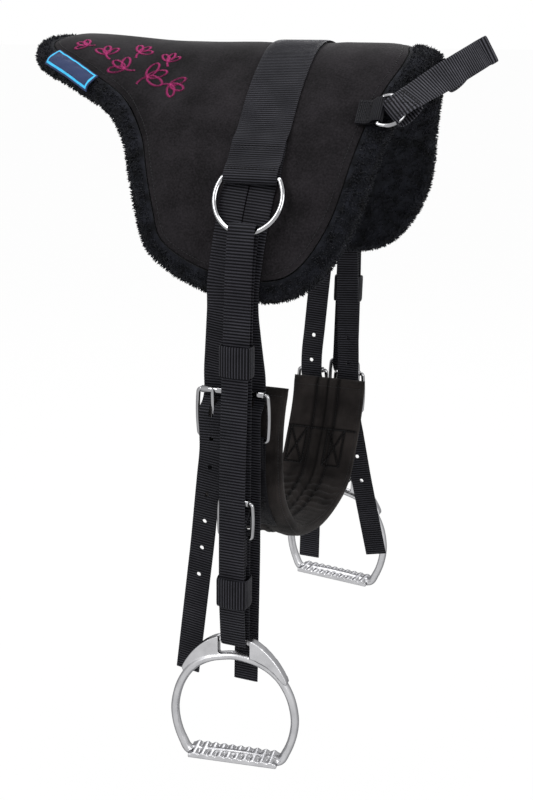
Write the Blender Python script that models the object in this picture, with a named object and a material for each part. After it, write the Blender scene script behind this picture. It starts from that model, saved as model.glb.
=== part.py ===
"""Bareback pad: a padded seat with a girth, stirrups and a grab handle.

Metres, +Z up. +X is the front of the pad, towards the horse's head. The origin is where the
underside of the arch rests on the middle of the horse's back, under the top webbing. The near
side of this model is at -Y and the far side at +Y. Lengths called drop are measured down from
the top of the seat, and lengths called out are measured sideways from the middle plane.
"""

import math
from dataclasses import dataclass

import bmesh
import bpy
from mathutils import Matrix, Vector

MM = 0.001

# Fit
CLEARANCE = 0.3 * MM
LAY_GAP = 0.4 * MM
OVERRUN = 4.0 * MM

# Seat
FLEECE_DEPTH = 13.5 * MM
FOAM_DEPTH = 10.0 * MM
COVER_THICKNESS = 2.0 * MM
SEAT_TOP = FLEECE_DEPTH + FOAM_DEPTH + COVER_THICKNESS + 2 * CLEARANCE
SEAT_FRONT = 131.0 * MM
SEAT_REAR = 269.0 * MM
FLAP_REACH = 289.0 * MM
BORDER = 22.0 * MM
BORDER_STEP = 0.4 * MM
BORDER_SOFT = 6.0 * MM
INNER_INSET = BORDER + 1.1 * MM
COVER_EDGE = 0.5 * MM
REAR_FLARE_START = 110.0 * MM
REAR_FLARE_LENGTH = 130.0 * MM
REAR_LIFT = 7.0 * MM
REAR_FLATTEN_SHARE = 0.28
PROFILE_STEP = 4.0 * MM
OUTLINE_HALF_COUNT = 12
SEAT_COLUMNS = 6

# Slope of the arch in degrees, by share of the flap's reach from the crest
ARCH_SLOPE_SHARES = ((0.0, 0.0), (0.158, 34.0), (0.386, 51.0), (0.58, 61.0),
                     (0.70, 71.0), (0.84, 81.0), (1.0, 86.0))
# Edges of the seat from the crest to the bottom of the flap: (share of length, share of reach)
FRONT_EDGE_SHARES = ((0.95, 0.0), (0.995, 0.10), (0.985, 0.18), (0.905, 0.32), (0.84, 0.46),
                     (0.795, 0.58), (0.755, 0.69), (0.685, 0.785), (0.60, 0.855),
                     (0.505, 0.915), (0.40, 0.957), (0.24, 0.988), (0.07, 1.0))
REAR_EDGE_SHARES = ((-0.985, 0.0), (-1.0, 0.10), (-0.985, 0.185), (-0.885, 0.265),
                    (-0.745, 0.338), (-0.607, 0.405), (-0.54, 0.475), (-0.508, 0.545),
                    (-0.470, 0.642), (-0.436, 0.737), (-0.412, 0.815), (-0.360, 0.88),
                    (-0.288, 0.925), (-0.195, 0.965), (-0.07, 0.99), (0.035, 1.0))

# Webbing
WIDE_WEBBING = 50.0 * MM
NARROW_WEBBING = 25.0 * MM
WIDE_THICKNESS = 2.2 * MM
STRAP_THICKNESS = 2.2 * MM
BILLET_THICKNESS = 2.0 * MM
ELASTIC_THICKNESS = 1.8 * MM
KEEPER_THICKNESS = 1.8 * MM
KEEPER_HEIGHT = 28.0 * MM
KEEPER_CORNER = 1.6 * MM
FOLD_LEG = 26.0 * MM
FOLD_SLOT = 15.0 * MM

# Large D-rings
D_WIRE = 5.0 * MM
D_ARC_RADIUS = 31.5 * MM
D_HALF_BAR = 26.5 * MM
D_BAR_REACH = 179.0 * MM
D_LEAN = math.radians(22.5)
D_PLAY = 1.5 * MM
D_POINTS = 22
WEBBING_LEG = 34.0 * MM
WEBBING_RUN = 58.0 * MM
# The webbing's outer layer from the bar inwards: (share of its run, share of its height over the seat)
WEBBING_RUN_SHARES = ((0.155, 0.88), (0.293, 0.55), (0.431, 0.49), (0.62, 0.435), (0.81, 0.087), (1.0, 0.0))

# Billets
BILLET_START = 150.0 * MM
BILLET_FREE = 270.0 * MM
BILLET_EASE = 0.5 * MM
BILLET_DROP_OFF = 24.0 * MM
BILLET_SWELL = 1.2 * MM
TAIL_BEND = 12.0 * MM
TAIL_DRAW_IN = 4.4 * MM
BILLET_TOP_SPREAD = 12.7 * MM
HOLE_COUNT = 7
HOLE_PITCH = 28.0 * MM
FIRST_HOLE_DROP = 318.0 * MM
HOLE_RADIUS = 2.2 * MM
HOLE_SIDES = 8

# Buckles
FRAME_WIRE = 4.0 * MM
FRAME_CORNER = 3.0 * MM
FRAME_SLACK = 1.4 * MM
GIRTH_FRAME_HEIGHT = 44.0 * MM
STRAP_FRAME_HEIGHT = 34.0 * MM
ROLLER_WALL = 0.9 * MM
TONGUE_WIDTH = 3.2 * MM
TONGUE_THICKNESS = 2.0 * MM
TONGUE_SLOT = 4.6 * MM
TONGUE_TIP = 3.0 * MM
GIRTH_BAR_OUT = 145.0 * MM
TAIL_OFFSET = 8.5 * MM
CROSSING_DROP = 16.0 * MM
SLOT_TOP = 7.0 * MM
SLOT_BOTTOM = 24.0 * MM
CROSSING_LENGTH = 24.0 * MM
# A strap that crosses out below a roller: (share of the drop, share of the way out)
CROSSING_SHARES = ((-0.58, 0.0), (0.042, 0.0), (0.208, 0.046), (0.342, 0.20), (0.458, 0.37),
                   (0.608, 0.75), (0.767, 0.954), (1.0, 1.0))

# Girth
GIRTH_WIDTH = 82.0 * MM
GIRTH_MIDDLE = -11.5 * MM
GIRTH_HALF_THICKNESS = 7.4 * MM
GIRTH_HALF_SPAN = 133.3 * MM
GIRTH_BOTTOM_DROP = 473.0 * MM
GIRTH_STATIONS = 26
ELASTIC_LENGTH = 84.0 * MM
ELASTIC_START = 14.0 * MM
# Half thickness of the quilted girth across its width: (share of half width, share of half thickness)
GIRTH_SECTION_SHARES = ((1.0, 0.4), (0.90, 0.82), (0.64, 1.0), (0.36, 0.86), (0.27, 0.62),
                        (0.18, 0.84), (0.0, 0.95))
# Path of the girth from the near end to the far end: (share of half span, share of depth)
GIRTH_NEAR_SHARES = ((-0.88, 0.0), (-0.97, 0.16), (-1.0, 0.38), (-0.965, 0.57), (-0.86, 0.72),
                     (-0.62, 0.89), (-0.30, 0.975), (0.06, 1.0))
GIRTH_FAR_SHARES = ((0.42, 0.94), (0.60, 0.84), (0.70, 0.68), (0.82, 0.45), (0.91, 0.22),
                    (0.95, 0.0))

# Stirrup straps
STRAP_INNER_OUT = 156.6 * MM
STRAP_OUTER_OUT = 171.0 * MM
STRAP_BAR_OUT = 161.3 * MM
STRAP_TAIL_OFFSET = 6.8 * MM
STRAP_TAIL_LENGTH = 90.0 * MM
ROLLER_ABOVE_EYE = 140.0 * MM
OUTER_RISE = 62.0 * MM
OUTER_ABOVE_ROLLER = 12.0 * MM
# Outer run from below the buckle up to the D-ring: (share of its length, share of the way in)
OUTER_RUN_SHARES = ((0.0, 0.0), (0.175, 0.05), (0.49, 0.29), (0.66, 0.48), (0.87, 0.70), (1.0, 1.0))
INNER_RUN = 125.0 * MM
# Inner run of the strap below the D-ring: (share of its length, share of the way out to the buckle)
INNER_RUN_SHARES = ((0.0, 0.0), (0.12, 0.33), (0.28, 0.64), (0.48, 0.87), (0.70, 0.96), (1.0, 1.0))
UPPER_KEEPER_DROP = 266.5 * MM

# Stirrup irons
EYE_WIRE = 6.0 * MM
EYE_WIDTH = 34.0 * MM
EYE_HEIGHT = 15.0 * MM
IRON_HEIGHT = 108.5 * MM
IRON_HALF_WIDTH = 59.0 * MM
IRON_BRANCH = 8.0 * MM
IRON_FOOT_SHARE = 0.62
IRON_DEPTH = 11.0 * MM
TREAD_LENGTH = 88.0 * MM
TREAD_DEPTH = 24.0 * MM
TREAD_THICKNESS = 4.4 * MM
TREAD_RIDGE = 2.0 * MM
TREAD_RIDGES = 10
RIDGE_FLAT_SHARE = 0.3
TREAD_BEVEL = 1.0 * MM
SHOULDER_DEPTH = 7.0 * MM
# Shoulder between the eye bar and the branch: (share of half width, share of half width below the eye bar)
SHOULDER_SHARES = ((0.265, 0.05), (0.32, 0.035), (0.48, -0.06), (0.66, -0.23), (0.80, -0.42),
                   (0.89, -0.60), (0.83, -0.62), (0.60, -0.40), (0.36, -0.28), (0.265, -0.26))
# Middle line of the branch from the top round to the tread: (share of half width, share of height)
IRON_SHARES = ((0.0, 1.0), (0.36, 0.965), (0.68, 0.86), (0.90, 0.68), (1.0, 0.46), (0.975, 0.27),
               (0.87, 0.10), (0.74, 0.0), (0.37, 0.0))

# Front handle
SMALL_WIRE = 3.5 * MM
SMALL_ARC_RADIUS = 15.5 * MM
SMALL_HALF_BAR = 14.0 * MM
SMALL_BAR_X = 103.0 * MM
SMALL_BAR_LIFT = 5.6 * MM
SMALL_POINTS = 18
TAB_THICKNESS = 1.6 * MM
TAB_LENGTH = 24.0 * MM
TAB_STEP = 4.0 * MM
HANDLE_THICKNESS = 2.0 * MM
HANDLE_LEG_GAP = 6.0 * MM
HANDLE_RETURN = 12.0 * MM
HANDLE_TIP_X = 172.5 * MM
HANDLE_TIP_DROP = 6.0 * MM
HANDLE_FOLD = 4.5 * MM
HANDLE_BOW = 4.0 * MM
HANDLE_START = 1.0 * MM
HANDLE_EDGE_TILT = math.radians(30.0)

# Label
LABEL_THICKNESS = 1.0 * MM
LABEL_LENGTH = 62.0 * MM
LABEL_START = 90.0 * MM
LABEL_LIFT = 0.5 * MM
LABEL_STEP = 1.0 * MM
LABEL_COVER_INSET = 20.0 * MM
LABEL_OUTER_INSET = 2.5 * MM
LABEL_COLUMNS = 9

X_AXIS = Vector((1, 0, 0))
Y_AXIS = Vector((0, 1, 0))
Z_AXIS = Vector((0, 0, 1))


@dataclass(frozen=True)
class Billet:
    """Where one billet lies along X at the flap's edge, at its buckle and at its tip, and how low it ends."""

    flap_x: float
    buckle_x: float
    tip_x: float
    end_drop: float


@dataclass(frozen=True)
class Side:
    """What differs between the near and the far side."""

    name: str
    sign: int
    eye_drop: float
    girth_hole: int
    girth_gap: float
    front_ring_reach: float
    strap_shift: float
    strap_lean: float
    iron_turn: float
    keeper_above_eye: float
    front: Billet
    rear: Billet


NEAR = Side("near", -1, 540.0 * MM, 0, 0.0 * MM, 110.0 * MM,
            4.0 * MM, math.radians(0.8), math.radians(8.5), 53.0 * MM,
            Billet(2.0 * MM, 3.6 * MM, -1.5 * MM, 589.0 * MM),
            Billet(-23.2 * MM, -32.6 * MM, -63.0 * MM, 590.0 * MM))
FAR = Side("far", 1, 491.0 * MM, 2, 3.0 * MM, 86.0 * MM,
           3.5 * MM, math.radians(1.6), math.radians(-5.0), 48.0 * MM,
           Billet(-2.0 * MM, 5.5 * MM, 41.0 * MM, 574.0 * MM),
           Billet(-31.0 * MM, -37.6 * MM, -41.0 * MM, 590.0 * MM))


def clear_scene():
    for obj in list(bpy.data.objects):
        bpy.data.objects.remove(obj, do_unlink=True)


def material(name, colour, roughness, metallic=0.0):
    made = bpy.data.materials.new(name)
    made.use_nodes = True
    shader = made.node_tree.nodes["Principled BSDF"]
    shader.inputs["Base Color"].default_value = (*colour, 1.0)
    shader.inputs["Roughness"].default_value = roughness
    shader.inputs["Metallic"].default_value = metallic
    return made


def lerp_table(table, value):
    """Value read from a table of (place, value) pairs, straight between them."""
    if value <= table[0][0]:
        return table[0][1]
    for (x0, y0), (x1, y1) in zip(table, table[1:]):
        if value <= x1:
            return y0 + (y1 - y0) * (value - x0) / (x1 - x0)
    return table[-1][1]


def smoothstep(value):
    value = min(max(value, 0.0), 1.0)
    return value * value * (3 - 2 * value)


def catmull(points, steps):
    """A smooth curve through the points, with this many steps in each span."""
    ends = [2 * points[0] - points[1], *points, 2 * points[-1] - points[-2]]
    curve = []
    for p0, p1, p2, p3 in zip(ends, ends[1:], ends[2:], ends[3:]):
        for k in range(steps):
            t = k / steps
            curve.append(0.5 * (2 * p1 + (p2 - p0) * t + (2 * p0 - 5 * p1 + 4 * p2 - p3) * t ** 2
                                + (3 * p1 - p0 - 3 * p2 + p3) * t ** 3))
    curve.append(points[-1])
    return curve


def lengths_along(curve):
    total = [0.0]
    for a, b in zip(curve, curve[1:]):
        total.append(total[-1] + (b - a).length)
    return total


def at_length(curve, total, place):
    for k in range(1, len(curve)):
        if place <= total[k] or k == len(curve) - 1:
            share = (place - total[k - 1]) / (total[k] - total[k - 1])
            return curve[k - 1].lerp(curve[k], share)


def evenly(points, places):
    """Points of the smooth curve at these shares of its length."""
    curve = catmull(points, 12)
    total = lengths_along(curve)
    return [at_length(curve, total, share * total[-1]) for share in places]


def arc(centre, radius, start, end, count, plane):
    """Points on an arc in the plane of two directions, angles in degrees."""
    u, v = plane
    return [centre + radius * (math.cos(a) * u + math.sin(a) * v)
            for a in (math.radians(start + (end - start) * k / (count - 1)) for k in range(count))]


def arch(x, reach):
    """(sideways, down, slope) of the seat's top at this place along and round the arch."""
    flare = smoothstep((-x - REAR_FLARE_START) / REAR_FLARE_LENGTH)
    flatten = 1 - REAR_FLATTEN_SHARE * flare
    steps = max(1, math.ceil(reach / PROFILE_STEP))
    out = down = 0.0
    for k in range(steps):
        place = (k + 0.5) / steps * reach / FLAP_REACH
        slope = math.radians(lerp_table(ARCH_SLOPE_SHARES, place)) * flatten
        out += math.cos(slope) * reach / steps
        down += math.sin(slope) * reach / steps
    slope = math.radians(lerp_table(ARCH_SLOPE_SHARES, reach / FLAP_REACH)) * flatten
    return out, down - REAR_LIFT * flare, slope


def on_seat(x, reach, lift):
    """The point this far round the arch, lifted off the cover's top. Reach is negative on the near side."""
    sign = -1 if reach < 0 else 1
    out, down, slope = arch(x, abs(reach))
    out += lift * math.sin(slope)
    return Vector((x, sign * out, SEAT_TOP - down + lift * math.cos(slope)))


def finish(name, bm, finish_material, smooth=35):
    bmesh.ops.recalc_face_normals(bm, faces=bm.faces)
    mesh = bpy.data.meshes.new(name)
    bm.to_mesh(mesh)
    bm.free()
    mesh.materials.append(finish_material)
    mesh.shade_smooth()
    mesh.set_sharp_from_angle(angle=math.radians(smooth))
    obj = bpy.data.objects.new(name, mesh)
    bpy.context.scene.collection.objects.link(obj)
    return obj


def sweep(name, path, section, finish_material, hints=X_AXIS, closed=False, smooth=35, through_scale=None):
    """A solid that carries a section along a path. The section is (across, through) pairs."""
    bm = bmesh.new()
    count = len(path)
    rings = []
    for k, point in enumerate(path):
        if closed:
            tangent = path[(k + 1) % count] - path[k - 1]
        else:
            tangent = path[min(k + 1, count - 1)] - path[max(k - 1, 0)]
        tangent.normalize()
        hint = hints[k] if isinstance(hints, list) else hints
        across = (hint - tangent * tangent.dot(hint)).normalized()
        through = tangent.cross(across)
        scale = through_scale[k] if through_scale else 1.0
        rings.append([bm.verts.new(point + across * a + through * b * scale) for a, b in section])
    pairs = list(zip(rings, rings[1:]))
    if closed:
        pairs.append((rings[-1], rings[0]))
    around = len(section)
    for first, second in pairs:
        for k in range(around):
            bm.faces.new((first[k], first[(k + 1) % around], second[(k + 1) % around], second[k]))
    if not closed:
        bm.faces.new(rings[0])
        bm.faces.new(rings[-1])
    return finish(name, bm, finish_material, smooth)


def flat_section(width, thickness):
    a, b = width / 2, thickness / 2
    return [(-a, -b), (a, -b), (a, b), (-a, b)]


def round_section(across, through, count):
    return [(across * math.cos(2 * math.pi * k / count), through * math.sin(2 * math.pi * k / count))
            for k in range(count)]


def ribbon(name, path, width, thickness, finish_material, hints=X_AXIS, closed=False):
    return sweep(name, path, flat_section(width, thickness), finish_material, hints, closed)


def wire_loop(name, points, radius, finish_material, resolution=1):
    """A closed wire, as a curve with a round bevel."""
    curve = bpy.data.curves.new(name, "CURVE")
    curve.dimensions = "3D"
    curve.bevel_depth = radius
    curve.bevel_resolution = resolution
    spline = curve.splines.new("POLY")
    spline.points.add(len(points) - 1)
    for target, point in zip(spline.points, points):
        target.co = (*point, 1.0)
    spline.use_cyclic_u = True
    spline.use_smooth = True
    curve.materials.append(finish_material)
    obj = bpy.data.objects.new(name, curve)
    bpy.context.scene.collection.objects.link(obj)
    return obj


def tube(name, centre, inner, outer, length, finish_material, sides=14):
    """A tube along X."""
    bm = bmesh.new()
    rings = []
    for radius, x in ((inner, -length / 2), (outer, -length / 2), (outer, length / 2), (inner, length / 2)):
        rings.append([bm.verts.new(centre + Vector((x, radius * math.cos(a), radius * math.sin(a))))
                      for a in (2 * math.pi * k / sides for k in range(sides))])
    for first, second in zip(rings, rings[1:] + rings[:1]):
        for k in range(sides):
            bm.faces.new((first[k], first[(k + 1) % sides], second[(k + 1) % sides], second[k]))
    return finish(name, bm, finish_material)


def box_cutter(name, centre, size):
    bm = bmesh.new()
    bmesh.ops.create_cube(bm, size=1.0, matrix=Matrix.LocRotScale(centre, None, Vector(size)))
    return as_cutter(name, bm)


def as_cutter(name, bm):
    mesh = bpy.data.meshes.new(name)
    bm.to_mesh(mesh)
    bm.free()
    obj = bpy.data.objects.new(name, mesh)
    obj.hide_render = True
    obj.display_type = "WIRE"
    bpy.context.scene.collection.objects.link(obj)
    return obj


def boolean(obj, other, operation):
    modifier = obj.modifiers.new(other.name, "BOOLEAN")
    modifier.operation = operation
    modifier.solver = "EXACT"
    modifier.object = other
    return modifier


def empty_at(name, point, parent=None):
    """A pivot at a point given in the frame that its parent has before any lean."""
    obj = bpy.data.objects.new(name, None)
    bpy.context.scene.collection.objects.link(obj)
    obj["seat"] = list(point)
    if parent:
        obj.parent = parent
        obj.location = point - Vector(parent["seat"])
    else:
        obj.location = point
    return obj


def hang_on(obj, pivot, turn=0.0):
    """Moves the object's origin to the pivot, turns it about the vertical and makes it the pivot's child."""
    seat = Vector(pivot["seat"])
    obj.data.transform(Matrix.Rotation(turn, 4, "Z") @ Matrix.Translation(-seat))
    obj.parent = pivot


# Seat: outlines and sheets

def edge_points(shares, length):
    return [Vector((share_x * length, share_s * FLAP_REACH, 0)) for share_x, share_s in shares]


def seat_loop(inset):
    """The seat's outline as (along, round) points: the front edge, then the rear one, drawn in by inset."""
    places = [k / (OUTLINE_HALF_COUNT + 0.5) for k in range(OUTLINE_HALF_COUNT + 1)]
    loops = []
    for shares, length in ((FRONT_EDGE_SHARES, SEAT_FRONT), (REAR_EDGE_SHARES, SEAT_REAR)):
        half = evenly(edge_points(shares, length), places)
        whole = [Vector((p.x, -p.y, 0)) for p in reversed(half[1:])] + half
        loops.append(whole)
    outline = loops[0] + loops[1][::-1]
    count = len(outline)
    drawn = []
    for k, point in enumerate(outline):
        tangent = (outline[(k + 1) % count] - outline[k - 1]).normalized()
        drawn.append(point + inset * Vector((-tangent.y, tangent.x, 0)))
    return drawn


def sheet_inside(bm, loop, verts, lift):
    """Faces across a loop, in rows from its front edge to its rear edge."""
    rows = 2 * OUTLINE_HALF_COUNT + 1
    last = len(loop) - 1
    lines = []
    for i in range(rows):
        front, rear = loop[i], loop[last - i]
        line = [verts[i]]
        if 0 < i < rows - 1:
            for j in range(1, SEAT_COLUMNS):
                place = front.lerp(rear, j / SEAT_COLUMNS)
                line.append(bm.verts.new(on_seat(place.x, place.y, lift)))
        line.append(verts[last - i])
        lines.append(line)
    for first, second in zip(lines[1:-1], lines[2:-1]):
        for j in range(SEAT_COLUMNS):
            bm.faces.new((first[j], second[j], second[j + 1], first[j + 1]))
    bm.faces.new(lines[0] + lines[1][::-1])
    bm.faces.new(lines[-1] + lines[-2][::-1])


def seat_sheet(name, rings, finish_material):
    """A closed sheet on the arch. Rings are (inset, lift), from the top's edge round to the underside's."""
    bm = bmesh.new()
    loops = [seat_loop(inset) for inset, lift in rings]
    verts = [[bm.verts.new(on_seat(p.x, p.y, lift)) for p in loop] for loop, (inset, lift) in zip(loops, rings)]
    for first, second in zip(verts, verts[1:]):
        for k in range(len(first)):
            n = (k + 1) % len(first)
            bm.faces.new((first[k], first[n], second[n], second[k]))
    sheet_inside(bm, loops[0], verts[0], rings[0][1])
    sheet_inside(bm, loops[-1], verts[-1], rings[-1][1])
    return finish(name, bm, finish_material, 60)


def roll_rings():
    """The rolled fleece border: (inset, lift) from the step at the cover's edge to the underside."""
    recess = -(COVER_THICKNESS + FOAM_DEPTH + 2 * CLEARANCE)
    half = SEAT_TOP / 2
    rings = [(INNER_INSET, recess), (BORDER, recess), (BORDER - BORDER_STEP, -COVER_THICKNESS),
             (BORDER - BORDER_SOFT, 0.0)]
    for angle in (90, 48, 12, -30, -90):
        a = math.radians(angle)
        rings.append((half * (1 - math.cos(a)), half * math.sin(a) - half))
    return rings


def build_seat(suede, foam, fleece):
    edge = INNER_INSET - COVER_EDGE
    seat_sheet("seat_cover", [(INNER_INSET, 0.0), (edge, -COVER_EDGE), (INNER_INSET, -COVER_THICKNESS)], suede)
    foam_top = -COVER_THICKNESS - CLEARANCE
    seat_sheet("foam_core", [(INNER_INSET, foam_top), (INNER_INSET, foam_top - FOAM_DEPTH)], foam)
    seat_sheet("fleece_lining", roll_rings(), fleece)


# D-rings

def d_ring_points(bar_middle, along, down, arc_radius, half_bar, count):
    """Middle line of a D: an arc below a straight bar."""
    drop = math.sqrt(arc_radius ** 2 - half_bar ** 2)
    centre = bar_middle + down * drop
    corner = math.degrees(math.atan2(drop, half_bar))
    points = arc(centre, arc_radius, corner, -180 - corner, count, (along, -down))
    bar = [points[-1].lerp(points[0], share) for share in (0.06, 0.5, 0.94)]
    return points + bar, centre


def webbing_end(sign):
    """One end of the top webbing, from the tip of its turned-under leg to the top of the arch."""
    lay = LAY_GAP + WIDE_THICKNESS / 2
    under = lay + BILLET_THICKNESS + 2 * CLEARANCE
    wrap = D_WIRE / 2 + CLEARANCE + WIDE_THICKNESS / 2
    points = [(D_BAR_REACH - WEBBING_LEG * (1 - k / 4), under) for k in range(5)]
    for k in range(1, 6):
        a = math.radians(-90 + 36 * k)
        points.append((D_BAR_REACH + wrap * math.cos(a), under + wrap + wrap * math.sin(a)))
    height = under + 2 * wrap - lay
    points += [(D_BAR_REACH - WEBBING_RUN * share, lay + height * rise) for share, rise in WEBBING_RUN_SHARES]
    return [on_seat(0, sign * reach, lift) for reach, lift in points], under + wrap


def build_top_webbing(webbing):
    near, bar_lift = webbing_end(-1)
    far, _ = webbing_end(1)
    start = D_BAR_REACH - WEBBING_RUN
    lay = LAY_GAP + WIDE_THICKNESS / 2
    count = 28
    middle = [on_seat(0, -start + 2 * start * k / count, lay) for k in range(1, count)]
    ribbon("top_webbing", near + middle + far[::-1], WIDE_WEBBING, WIDE_THICKNESS, webbing)
    return bar_lift


# Buckles

def build_buckle(name, x, out, bar_drop, height, side, plated, pivot=None):
    """Frame, roller and tongue. The bar is at the foot of the frame and the roller at its head."""
    def at(dx, dout, rise):
        return Vector((x + dx, side.sign * (out + dout), SEAT_TOP - bar_drop + rise))

    half = NARROW_WEBBING / 2 + FRAME_SLACK + FRAME_WIRE / 2
    corner = FRAME_CORNER
    outline = []
    for cx, cz, start in ((half - corner, height - corner, 0), (corner - half, height - corner, 90),
                          (corner - half, corner, 180), (half - corner, corner, 270)):
        outline += [at(p.x, 0, p.y) for p in arc(Vector((cx, cz)), corner, start, start + 90, 4,
                                                 (Vector((1, 0)), Vector((0, 1))))]
    frame = wire_loop(name + "_frame", outline, FRAME_WIRE / 2, plated)
    inner = FRAME_WIRE / 2 + CLEARANCE
    roller = tube(name + "_roller", at(0, 0, height), inner, inner + ROLLER_WALL,
                  2 * (half - corner) - 2 * CLEARANCE, plated)
    curl = FRAME_WIRE / 2 + CLEARANCE + TONGUE_THICKNESS / 2
    rest = inner + ROLLER_WALL + CLEARANCE + TONGUE_THICKNESS / 2
    curled = [at(0, curl * math.cos(a), curl * math.sin(a))
              for a in (math.radians(105 + 255 * k / 8) for k in range(9))]
    shaft = [at(0, curl + (rest - curl) * share, height * share) for share in (0.12, 0.35, 0.7, 1.0)]
    path = curled + shaft + [at(0, rest, height + TONGUE_TIP)]
    tongue = ribbon(name + "_tongue", path, TONGUE_WIDTH, TONGUE_THICKNESS, plated)
    bar = empty_at(name + "_bar_pivot", at(0, 0, 0), pivot)
    head = empty_at(name + "_roller_pivot", at(0, 0, height), pivot)
    hang_on(tongue, bar)
    hang_on(roller, head)
    if pivot:
        hang_on(frame, pivot)
    return frame, roller, tongue


def crossing_path(side, x, bar_out, roller_drop, tail_offset, thickness):
    """A strap that comes down behind a roller and crosses out over the frame below it."""
    behind = bar_out - (FRAME_WIRE / 2 + ROLLER_WALL + 2 * CLEARANCE + thickness / 2)
    tail = bar_out + tail_offset
    return [Vector((x, side.sign * (behind + (tail - behind) * way), SEAT_TOP - roller_drop - CROSSING_LENGTH * drop))
            for drop, way in CROSSING_SHARES]


def tongue_slot(name, obj, x, out, top_drop, bottom_drop, side, depth, pivot=None):
    """A slot through a strap, where the tongue passes."""
    centre = Vector((x, side.sign * out, SEAT_TOP - (top_drop + bottom_drop) / 2))
    cutter = box_cutter(name, centre, (TONGUE_SLOT, depth, bottom_drop - top_drop))
    if pivot:
        hang_on(cutter, pivot)
    boolean(obj, cutter, "DIFFERENCE")


# Billets

def girth_levels(side):
    """(roller drop, bar drop) of this side's girth buckles, set by the hole in use."""
    hole = FIRST_HOLE_DROP + side.girth_hole * HOLE_PITCH
    roller = hole - CROSSING_DROP
    return roller, roller + GIRTH_FRAME_HEIGHT


def build_billet(side, end, webbing):
    roller_drop, bar_drop = girth_levels(side)
    x_top = BILLET_TOP_SPREAD * (1 if end == "front" else -1)
    run = getattr(side, end)
    x, shift = run.buckle_x, run.tip_x - run.buckle_x
    lift = LAY_GAP + BILLET_THICKNESS / 2
    path = []
    for k in range(9):
        share = k / 8
        reach = BILLET_START + (BILLET_FREE - BILLET_START) * share
        path.append(on_seat(x_top + (run.flap_x - x_top) * share, side.sign * reach,
                            lift + BILLET_EASE * smoothstep(2 * share - 1)))
    last = path[-1]
    crossing = crossing_path(side, x, GIRTH_BAR_OUT, roller_drop, TAIL_OFFSET, BILLET_THICKNESS)
    ease = crossing[0]
    below = last - BILLET_DROP_OFF * Z_AXIS
    below.y = side.sign * (abs(last.y) + BILLET_SWELL)
    path += evenly([last, below, ease.lerp(below, 0.35), ease], (0.25, 0.5, 0.75))
    path += crossing
    tail_top = crossing[-1]
    tail_end = Vector((x + shift, side.sign * (GIRTH_BAR_OUT + TAIL_OFFSET - TAIL_DRAW_IN),
                       SEAT_TOP - run.end_drop))
    foot = SEAT_TOP - bar_drop - TAIL_BEND
    path.append(Vector((x, tail_top.y, foot)))
    span = foot - tail_end.z
    for share in (0.12, 0.24, 0.4, 0.55, 0.7, 0.85, 0.97, 1.0):
        path.append(Vector((x + shift * share, tail_top.y + (tail_end.y - tail_top.y) * min(1, 2.4 * share),
                            foot - span * share)))
    name = f"billet_{side.name}_{end}"
    billet = ribbon(name, path, NARROW_WEBBING, BILLET_THICKNESS, webbing)
    cut_holes(billet, path, side)
    tongue_slot(name + "_slot", billet, x, GIRTH_BAR_OUT, roller_drop + SLOT_TOP, roller_drop + SLOT_BOTTOM,
                side, 2 * TAIL_OFFSET + 2 * OVERRUN)
    return billet


def cut_holes(billet, path, side):
    bm = bmesh.new()
    for k in range(HOLE_COUNT):
        if k == side.girth_hole:
            continue
        z = SEAT_TOP - FIRST_HOLE_DROP - k * HOLE_PITCH
        for a, b in zip(path, path[1:]):
            if b.z <= z < a.z:
                centre = a.lerp(b, (a.z - z) / (a.z - b.z))
        turn = Matrix.Rotation(math.radians(90), 4, "X")
        bmesh.ops.create_cone(bm, cap_ends=True, segments=HOLE_SIDES, radius1=HOLE_RADIUS, radius2=HOLE_RADIUS,
                              depth=2 * BILLET_THICKNESS + 2 * OVERRUN, matrix=Matrix.Translation(centre) @ turn)
    boolean(billet, as_cutter(billet.name + "_holes", bm), "DIFFERENCE")


# Girth

def girth_line(count):
    """Middle line of the girth from its near end to its far end."""
    near_top = girth_levels(NEAR)[0] + NEAR.girth_gap
    far_top = girth_levels(FAR)[0] + FAR.girth_gap
    points = [Vector((GIRTH_MIDDLE, y * GIRTH_HALF_SPAN, SEAT_TOP - near_top - z * (GIRTH_BOTTOM_DROP - near_top)))
              for y, z in GIRTH_NEAR_SHARES]
    points += [Vector((GIRTH_MIDDLE, y * GIRTH_HALF_SPAN, SEAT_TOP - far_top - z * (GIRTH_BOTTOM_DROP - far_top)))
               for y, z in GIRTH_FAR_SHARES]
    return evenly(points, [k / (count - 1) for k in range(count)])


def build_girth(quilt):
    half = [(a * GIRTH_WIDTH / 2, b * GIRTH_HALF_THICKNESS) for a, b in GIRTH_SECTION_SHARES]
    top = half + [(-a, b) for a, b in reversed(half[:-1])]
    section = top + [(a, -b) for a, b in reversed(top)]
    return sweep("girth_pad", girth_line(GIRTH_STATIONS), section, quilt, smooth=50)


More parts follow.
